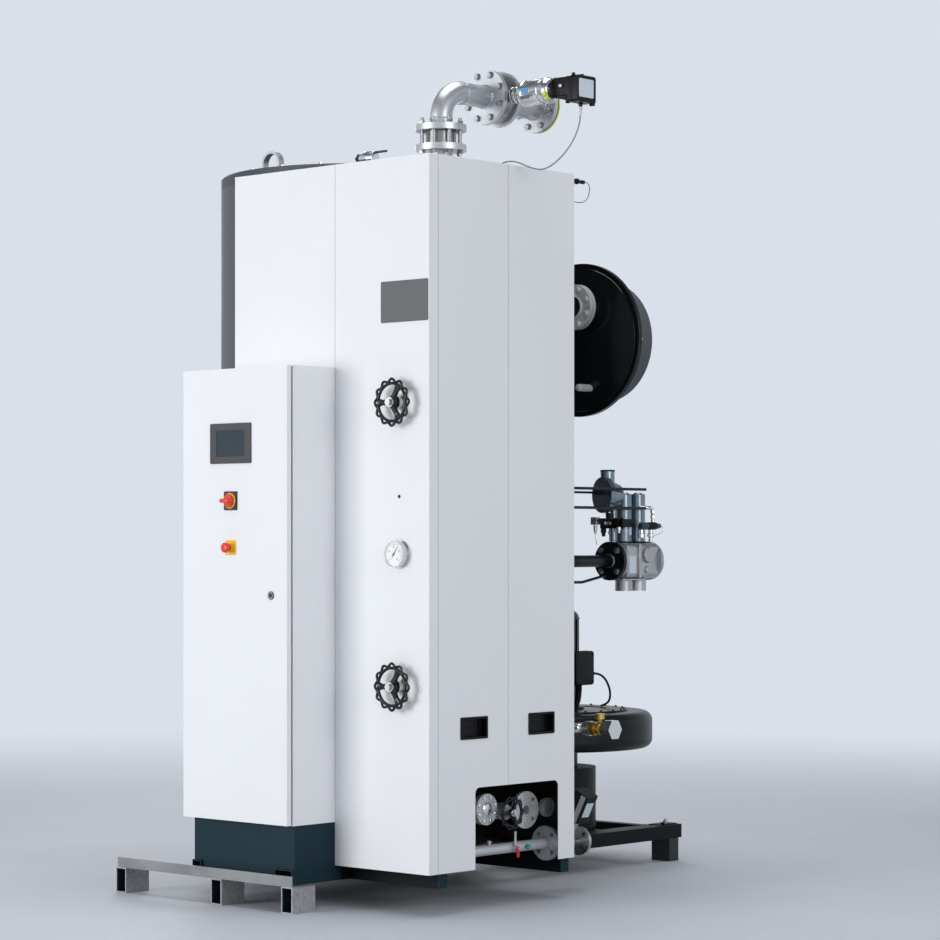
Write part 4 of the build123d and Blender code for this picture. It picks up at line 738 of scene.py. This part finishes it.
# The control valve's actuator is a spun stainless can with pressed beads and clamp rings, on a turned neck
# beside the wafer body. A yellow travel indicator shows between the can and the positioner.
can_steel = bare_metal("spun stainless can", (0.62, 0.63, 0.64), 0.17, 26.0, 0.14, (1, 14, 14))
tint_blue = moulded("blue foil", (0.10, 0.30, 0.55), 0.3)
can_y = 518.3
can = Form()
can.turned((17, can_y, outlet_z), RIGHT, [
    (0, 28), (0, 40), (3, 43), (12, 51), (16, 52), (24, 52), (26, 50), (30, 49), (128, 49), (130, 50),
    (133, 51.6), (141, 51.6), (144, 49), (154, 48), (160, 44), (163, 38), (163, 0)], 64)
for x, length, radius in ((-38, 12, 25), (-26, 5, 33), (-21, 14, 22), (-7, 8, 34), (1, 16, 29)):
    can.turned((x, can_y, outlet_z), RIGHT, [
        (0, radius - 1.5), (1.5, radius), (length - 1.5, radius), (length, radius - 1.5)], 36)
can.turned((-19, can_y, outlet_z), RIGHT, [(0, 30), (9, 30)], 6)
for x in (35, 129):
    can.turned((x, can_y, outlet_z), RIGHT, [(-2.5, 49), (-1.5, 50.6), (1.5, 50.6), (2.5, 49)], 64)
for x in (37, 154):
    can.bolt((x, 470, 3178), FRONT, 5, washer=False)
piece("actuator_can", can, can_steel, "aluminium", replaces=["steam_actuator"])


def wrapped(form, section, first, last):
    """A label round a can: its section of points swept in steps of six degrees. A point is a function of
    the angle's cosine and sine."""
    form.skin([[point(math.cos(a), math.sin(a)) for point in section]
        for a in (math.radians(d) for d in range(first, last, 6))])


foil = Form()
wrapped(foil, [lambda c, s, x=x, r=r: (x, can_y + r * c, outlet_z + r * s) for x, r in
    ((53, 49.2), (88, 49.2), (88, 49.9), (53, 49.9))], 164, 200)
piece("actuator_foil", foil, tint_blue, "aluminium")
turned_piece("travel_indicator", cap_yellow, "aluminium",
    ((166, 475, 3187), RIGHT, [(0, 9), (13, 9)], 24),
    ((163, 488, 3173), RIGHT, [(0, 7), (16, 7)], 24))


# The positioner is a ribbed box of glass-filled black plastic with a framed lid, a pale blank plate in the
# frame, two knobs on top and two glands below. Its own plate carries it on the actuator's far end.
box_black = moulded("ribbed black housing", (0.004, 0.004, 0.005), 0.34, 700.0, 0.16, gloss=0.22)
plate_pale = moulded("blank lid plate", (0.60, 0.66, 0.72), 0.25, 300.0, 0.03)
box_y = 563.3


def boxed(form, x_profile, centre_y, centre_z, width, height, corner):
    """A box lying along X: x_profile gives each section's X and how far its sides stand in."""
    form.skin([[(x, centre_y + a, centre_z + b) for a, b in
         rounded(width - 2 * inset, height - 2 * inset, max(1.0, corner - inset), 4)]
        for x, inset in x_profile])


housing = Form()
boxed(housing, [(180.3, 5), (182, 2), (187, 2), (187, 4), (247, 4), (247, 2), (256, 2), (256, 5),
    (258.5, 5)], box_y, 3213, 104, 84, 12)
for x in (199, 211, 223, 235):
    boxed(housing, [(x - 1.6, 4), (x - 1.2, 2.8), (x + 1.2, 2.8), (x + 1.6, 4)], box_y, 3213, 104, 84, 12)
boxed(housing, [(258.3, 4), (259.3, 0.5), (281, 0), (282, 1.6), (284, 1.6), (285, 0), (310.5, 0), (312, 2),
    (312.2, 8), (308.8, 10)], box_y, 3200, 113, 104, 12)
for y in (515, 567):
    housing.turned((285, y, 3250), UP, [(0, 8.5), (4, 8.5), (4.5, 7), (10, 7), (11.5, 5)], 20)
for z in (3154, 3246):
    for y in (512.8, 613.8):
        housing.turned((307, y, z), RIGHT, [(0, 4.6), (4.6, 4.4)], 16)
housing.turned((230, 545, 3172), DOWN, [(0, 11), (4, 11), (5, 9), (20, 9), (21, 7)], 20)
housing.turned((274, 571, 3150), DOWN, [(0, 10.5), (5, 10.5), (6, 8), (15, 7.6)], 20)
housing.block(290, 308, 604, 618, 3140, 3150)
piece("positioner_housing", housing, box_black, "black_plastic", replaces=["positioner"], edge=0.6)
lid_plate = Form()
lid_plate.cut((309.0, box_y, 3203), RIGHT, rounded(88, 72, 5), 0.8)
lid_plate.cut((222, 508.9, 3216), FRONT, rounded(15, 10, 1), 0.6)
piece("positioner_plates", lid_plate, plate_pale, "black_plastic")


# The burner drum hangs behind the casing on its air duct. Its front cover is a spun steel dish with a
# turned-over rim, sprayed glossy black, with a flanged port and a small round knob. The shell is grey.
drum_black = sprayed("glossy drum black", (0.002, 0.003, 0.004), 0.16, 40.0, 0.04, 0.0, 0.3)
port_steel = bare_metal("machined port steel", (0.62, 0.63, 0.64), 0.30, 22.0, 0.3, metallic=0.45)
duct_black = sprayed("satin duct black", (0.004, 0.005, 0.006), 0.4, 120.0, 0.10, 0.02, 0.2)
dress(drum_black, "drum_cover")
dress(jacket_paint, "drum_shell")
dress(port_steel, "drum_fittings")
dress(duct_black, "air_duct", "fan_pedestal")
duct_bands = Form()
for z in (760, 1380, 2000):
    for x0, x1, y0, y1 in ((-863, -675, 1474, 1478.6), (-863, -675, 1618.0, 1621.5),
            (-863, -858.8, 1474, 1621.5), (-679.2, -675, 1474, 1621.5)):
        duct_bands.block(x0, x1, y0, y1, z - 20, z + 20)
piece("duct_bands", duct_bands, duct_black, "black_paint", edge=1.0)
turned_piece("drum_dish_line", drum_black, "black_paint", (
    (-477, 1449.8, 2306), FRONT, [(0, 301), (2.2, 303), (2.2, 306), (0, 308)], 96, HOLLOW))
port = (-415, 1334, 2439)
port_parts = Form()
port_parts.ring_of_bolts(port, FRONT, 158, 8, 12)
port_parts.all_turned(
    (port, FRONT, [(0, 44), (0, 50), (5, 50), (6, 48), (6, 44)], 48, HOLLOW),
    ((-215.2, 1550, 2306), RIGHT, [(0, 8), (1.5, 8), (2.5, 6), (2.5, 0)], 20),
    ((-401, 1354, 2096), FRONT, [(0, 12), (5, 12), (6, 10), (6, 0)], 24))
port_parts.finish = 1
port_parts.turned(port, FRONT, [(0, 43.9), (0.6, 43.9), (0.6, 0)], 48)
piece("drum_port_parts", port_parts, [port_steel, cable_black], "steel")


# The gas train hangs behind the casing: a black pipe with a thin impulse line, a cast aluminium double valve
# with two caps below and two solenoid cans above, a governor, switches, plugs and black bars.
cast_alu = bare_metal("cast aluminium", (0.48, 0.49, 0.50), 0.34, 13.0, 0.4, metallic=0.85)
can_alu = bare_metal("turned aluminium cans", (0.22, 0.27, 0.31), 0.18, 20.0, 0.3, (12, 12, 1), metallic=0.9)
plug_blue = moulded("blue-grey plug end", (0.02, 0.045, 0.06), 0.3)
dress(sprayed("gas pipe black", (0.002, 0.005, 0.007), 0.26, 90.0, 0.10, 0.0, 0.35), "gas_pipe", "gas_bars")
dress(cast_alu, "gas_valve_body")
dress(can_alu, "gas_actuators", "gas_governor")
gas_x, can_places, plug_x = -250, (1475.3, 1567.3), -170
gas_bolts = Form()
for y in (1378, 1628.3):
    gas_bolts.ring_of_bolts((gas_x, y, 1356), FRONT, 125, 4, 13)
weld_ring(gas_bolts, (gas_x, 1377, 1356), BACK, 26.5, 3.0)
piece("gas_train_bolts", gas_bolts, zinc_bolts, "steel")
bands = Form()
plugs = Form()
for y in can_places:
    for form, z, height, radius in ((bands, 1589, 7, 34.6), (bands, 1632, 3, 33.8), (plugs, 1431.5, 8, 38)):
        form.turned((gas_x, y, z), UP, [(0, 33.1), (0, radius), (height, radius), (height, 33.1)], 48, HOLLOW)
    bands.turned((gas_x, y, 1642), UP, [(0, 20), (3, 20), (5, 18), (5, 0)], 24)
governor_turn = math.radians(17)
bands.ring_of_bolts((gas_x, 1328.3, 1635), (-math.sin(governor_turn), -math.cos(governor_turn), 0), 136, 8, 5,
    washer=False)
piece("gas_can_bands", bands, can_alu, "aluminium")
casting = Form()
casting.block(-186, -178, 1492, 1508, 1284, 1428)
casting.block(-186, -181, 1414, 1424, 1290, 1422)
casting.turned((-186, 1552, 1382), RIGHT, [(0, 36), (4, 34), (14, 32), (16, 30), (16, 0)], 36)
casting.turned((-186, 1552, 1318), RIGHT, [(0, 18), (6, 17), (8, 15), (8, 0)], 6)
casting.cut((gas_x, 1478, 1281), DOWN, rounded(120, 150, 16), 6)
piece("gas_body_casting", casting, cast_alu, "aluminium", edge=1.2)
plugs.block(-312, -214, 1390, 1432, 1494, 1538)
plugs.block(-214, -190, 1396, 1470, 1500, 1534)
plugs.all_turned(
    ((gas_x, 1366.8, 1735.2), UP, [(0, 32), (5, 32), (7, 29), (7, 0)], 36),
    ((-300, 1400, 1494), DOWN, [(0, 12), (18, 12), (20, 8), (34, 8)], 20),
    ((plug_x, 1531, 1505), BACK, [(0, 15), (2, 16), (58, 16), (62, 13), (84, 11), (92, 7), (92, 0)], 28),
    ((-226, 1352, 1560), DOWN, [(0, 17), (12, 18), (30, 14), (32, 0)], 24))
piece("gas_plugs", plugs, box_black, "black_plastic", edge=1.5)
fittings = Form()
fittings.cut((-320, 1384, 1526), FRONT, rounded(30, 32, 4), 28)
fittings.cut((-268, 1389.8, 1516), FRONT, rounded(34, 14, 2), 1.2)
fittings.all_turned(
    ((-320, 1370, 1509), DOWN, [(0, 9), (24, 8), (26, 6), (38, 5), (38, 0)], 20),
    ((-214, 1398, 1500), DOWN, [(0, 9), (16, 9), (18, 6), (26, 6)], 18),
    ((-262, 1402, 1494), DOWN, [(0, 8), (10, 8), (12, 11), (24, 11), (26, 7), (54, 7)], 18),
    ((plug_x, 1572, 1562), UP, [(0, 11.5), (8, 11.5)], 6),
    ((plug_x, 1572, 1540), UP, [(0, 11.5), (8, 11.5)], 6),
    ((-172, 1560, 1489), DOWN, [(0, 10), (14, 10), (16, 14), (30, 14), (32, 9), (52, 9)], 20),
    ((-190, 1520, 1489), DOWN, [(0, 8), (16, 8), (18, 11), (34, 11)], 6))
fittings.bent([(-320, 1370, 1472), (-320, 1372, 1448), (-318, 1378, 1424)], 1.6, 8)
fittings.bent([(-196, 1520, 1583), (-180, 1536, 1583), (-172, 1556, 1582), (plug_x, 1568, 1574),
    (plug_x, 1572, 1560), (plug_x, 1572, 1521)], 8, 16)
fittings.bent([(plug_x, 1622, 1505), (plug_x, 1637, 1503), (plug_x, 1643, 1491), (plug_x, 1636, 1480),
    (plug_x, 1618, 1472), (-171, 1594, 1466), (-172, 1566, 1452)], 1.5, 8)
piece("gas_fittings", fittings, chrome, "aluminium", edge=0.6)
turned_piece("gas_plug_end", plug_blue, "black_plastic", (
    (plug_x, 1486, 1505), BACK, [(0, 0), (0, 11), (3, 15), (12, 15.6), (45, 15.6), (46, 14)], 28))
labels = Form()
labels.cut((-184.9, 1454, 1341), RIGHT, rounded(46, 72, 2), 0.5)
wrapped(labels, [lambda c, s, r=r, z=z: (gas_x + r * c, can_places[0] + r * s, z) for r, z in
    ((33.2, 1466), (33.6, 1466), (33.6, 1513), (33.2, 1513))], -10, 32)
piece("gas_blank_labels", labels, plate_pale, "aluminium")


# The fan blows the burner's air. Its flat round housing is pressed and sprayed black with a bolted ring
# round a grey inlet plate. The motor with its terminal box stands on top, and a pedestal carries it.
fan_black = sprayed("satin fan black", (0.003, 0.005, 0.006), 0.33, 60.0, 0.05, 0.02, 0.25)
motor_black = sprayed("motor black", (0.003, 0.0035, 0.004), 0.36, 110.0, 0.12, 0.0, 0.2)
inlet_grey = bare_metal("grey inlet plate", (0.12, 0.14, 0.17), 0.4, 12.0, 0.3, metallic=0.5)
dress(fan_black, "fan_housing")
dress(motor_black, "fan_motor")
fan_x, fan_y = -878, 1740
turned_piece("fan_inlet_plate", inlet_grey, "black_paint", (
    (fan_x, fan_y, 683.2), UP, [(0, 118.5), (0, 238), (3, 238), (4, 236), (4, 118.5)], 72, HOLLOW))
fan_bolts = Form()
for angle in round_steps(24, 0.5):
    x, y = fan_x + 318 * math.cos(angle), fan_y + 318 * math.sin(angle)
    under_duct = -875 < x < -662 and 1460 < y < 1636
    if not under_duct:
        fan_bolts.bolt((x, y, 691), UP, 6.5)
fan_bolts.ring_of_bolts((fan_x, fan_y, 520), DOWN, 600, 8, 8)
piece("fan_bolts", fan_bolts, fan_black, "black_paint")
rings = Form()
for x_profile in ([(-704, 0), (-703, -3), (-695, -3), (-694, 0)],
        [(-686, 0), (-685, -2.5), (-675, -2.5), (-672, 1), (-671.4, 6)]):
    boxed(rings, x_profile, 1722, 877.5, 118, 146, 14)
rings.turned((fan_x, fan_y, 1092), UP, [(0, 119), (0, 122), (4, 122), (4, 119)], 64, HOLLOW)
rings.turned((fan_x, fan_y, 684), UP, [(0, 118), (0, 140), (14, 140), (18, 136), (18, 118)], 64, HOLLOW)
for z in (818, 937):
    for y in (1672, 1772):
        rings.turned((-673, y, z), RIGHT, [(0, 6), (3.6, 6), (4.4, 4.6)], 16)
rings.turned((-735, 1664.6, 860), FRONT, [(0, 15), (5, 15), (7, 11), (18, 10), (18, 0)], 24)
piece("motor_rings", rings, motor_black, "black_paint", edge=1.2)
path = [(-690, 1700, 806), (-690, 1698, 775), (-691, 1693, 740), (-696, 1684, 708), (-702, 1676, 690)]
dense = [Vector(a).lerp(Vector(b), k / 8) for a, b in zip(path, path[1:]) for k in range(8)]
conduit = Form()
conduit.bent(dense, [14.5 if i % 2 else 11.5 for i in range(len(dense))], 20)
piece("motor_conduit", conduit, cable_black, "black_paint")


# Behind the side cut-out runs the feed header with its strainer, hand valve, open inlet flange and a small
# union, and below it the drain pipe with its flange and a small cock. All are plated or machined steel.
feed_steel = bare_metal("plated feed steel", (0.60, 0.62, 0.64), 0.26, 15.0, 0.35, metallic=0.45)
flange_steel = bare_metal("machined flange steel", (0.60, 0.62, 0.66), 0.34, 8.0, 0.2, metallic=0.35)
cap_green = moulded("green cap", (0.05, 0.30, 0.22), 0.35)
dress(feed_steel, "feed_header", "feed_strainer", "feed_valve")
dress(flange_steel, "drain_pipe")
dress(moulded("red lever grip", (0.50, 0.02, 0.015), 0.35), "drain_lever")
handwheel("feed_handwheel", (-52, 535, 362), RIGHT, 70, 10, math.pi / 3, 12, 15, 12, "feed_wheel", 6.08)
strainer = Form()
strainer.ring_of_bolts((-92, 431, 380), RIGHT, 98, 8, 8)
strainer.turned((-92, 431, 380), RIGHT, [(0, 26), (3, 26), (5, 23), (8, 12), (8, 0)], 32)
piece("strainer_bolts", strainer, chrome, "steel")
trim = Form()
weld_ring(trim, (-100, 787, 218), BACK, 22.5, 2.6)
trim.turned((-88, 439, 236), UP, [(0, 6), (8, 6), (10, 9), (18, 9), (20, 6), (20, 0)], 18)
trim.turned((-84, 649, 217), RIGHT, [(0, 9), (12, 9)], 6)
trim.finish = 1
trim.turned((-71.9, 649, 217), RIGHT, [(0, 11), (10, 11), (12, 9), (12, 0)], 24)
piece("feed_trim", trim, [feed_steel, cap_green], "steel")


# The blow-down valve is a ball valve behind the casing, with an electric actuator that leans over to the
# right. Its outlet flange carries a yellow protection cap.
dress(bare_metal("blow-down steel", (0.52, 0.52, 0.51), 0.26, 20.0, 0.25), "blowdown_valve")
dress(box_black, "blowdown_actuator")
lean = Vector((math.sin(math.radians(27)), 0, math.cos(math.radians(27))))
side = Vector((lean.z, 0, -lean.x))
actuator_foot = Vector((-165, 1000, 200)) + lean * 112.3


def on_actuator(rise, out, y):
    """A point at the leaning actuator: how far up it, how far to its right and how far back."""
    return actuator_foot + lean * rise + side * out + Vector((0, y, 0))


cover = Form()
cover.skin([[on_actuator(rise, out, y) for rise, out in ((4, 8), (4, 33), (121, 33), (121, 8))]
    for y in (-39.2, -38.2)])
piece("blowdown_plate", cover, can_steel, "steel", edge=0.4)
blank = Form()
blank.skin([[on_actuator(rise, out, y) for rise, y in ((30, -22), (30, 22), (96, 22), (96, -22))]
    for out in (38.2, 38.7)])
piece("blowdown_blank_label", blank, plate_pale, "black_plastic")
turned_piece("blowdown_cap", cap_yellow, "steel",
    ((-165, 1088, 200), BACK, [(0, 56), (5, 56), (6.5, 54), (6.5, 0)], 48))


# The side cock taps the boiler behind the casing: a steel line with a short bellows, a brass ball cock and
# a plated hexagon cap at its end.
dress(chrome, "side_line")
dress(bare_metal("cast brass", (0.62, 0.40, 0.10), 0.3, 24.0, 0.25), "brass_cock")


# The machine stands on a pale smooth studio floor that fades into a pale backdrop. Large soft lamps light
# its front a little more than its right side, as in the photograph.
backdrop = (0.70, 0.745, 0.815, 1)
sky = bpy.data.worlds.new("studio")
sky.use_nodes = True
bpy.context.scene.world = sky
air = Wire(sky.node_tree).node


def seen_rays(node):
    """1 for the rays that see the backdrop: those of the camera, of gloss and of glass."""
    camera_ray, gloss_ray, glass_ray = (node("ShaderNodeLightPath", out=kind) for kind in
        ("Is Camera Ray", "Is Glossy Ray", "Is Transmission Ray"))
    return camera_ray | gloss_ray | glass_ray


ray = air("ShaderNodeTexCoord", out="Generated")
height = air("ShaderNodeSeparateXYZ", None, {0: ray}, "Z")
lit_colour = height.over(-0.05, 0.8).tint((0.20, 0.21, 0.23, 1), (0.52, 0.54, 0.58, 1))
shown_colour = height.over(0.2, 0.7).tint(backdrop, (0.16, 0.17, 0.19, 1))
lit = air("ShaderNodeBackground", None, {"Color": lit_colour})
shown = air("ShaderNodeBackground", None, {"Color": shown_colour})
mixed = air("ShaderNodeMixShader", None, {0: seen_rays(air), 1: lit, 2: shown})
sky.node_tree.links.new(mixed.socket, sky.node_tree.nodes["World Output"].inputs["Surface"])

ground = Finish("studio floor", specular_ior_level=0.12, roughness=0.6)
far = ground.node("ShaderNodeVectorMath", {"operation": "LENGTH"}, {0: ground.place}, "Value")
fade = far.over(4.0, 11.0) * seen_rays(ground.node)
ground.feed(base_color=ground.noise(1.2).tint((0.42, 0.44, 0.48, 1), (0.48, 0.50, 0.54, 1)))
glow = ground.node("ShaderNodeEmission", None, {"Color": backdrop, "Strength": 1.0})
paint = Wire(ground.tree, ground.tree.nodes["Principled BSDF"].outputs[0])
surface = ground.node("ShaderNodeMixShader", None, {0: fade, 1: paint, 2: glow})
ground.tree.links.new(surface.socket, ground.tree.nodes["Material Output"].inputs["Surface"])
floor = Form()
floor.turned((0, 800, 0), DOWN, [(0, 40000), (20, 40000)], 96)
piece("studio_floor", floor, ground.material, body=None)


def softbox(name, place, aim, width, height, power):
    """A large soft lamp that points at a spot on the machine."""
    lamp = bpy.data.lights.new(name, "AREA")
    lamp.shape = "RECTANGLE"
    lamp.size = width
    lamp.size_y = height
    lamp.energy = power
    made = placed(name, lamp)
    made.location = place
    made.rotation_euler = (Vector(aim) - Vector(place)).to_track_quat("-Z", "Y").to_euler()


softbox("front_softbox", (-3.0, -8.5, 2.4), (0.0, 0.0, 1.1), 5.0, 4.0, 505)
softbox("right_softbox", (8.5, -0.8, 3.6), (0.0, 0.8, 1.4), 4.0, 4.0, 215)
softbox("top_softbox", (0.0, 1.0, 8.5), (0.0, 0.8, 1.0), 5.0, 5.0, 330)
softbox("rear_softbox", (-7.5, 6.5, 5.0), (0.0, 1.2, 1.5), 4.0, 4.0, 170)
bpy.context.scene.view_settings.view_transform = "Standard"
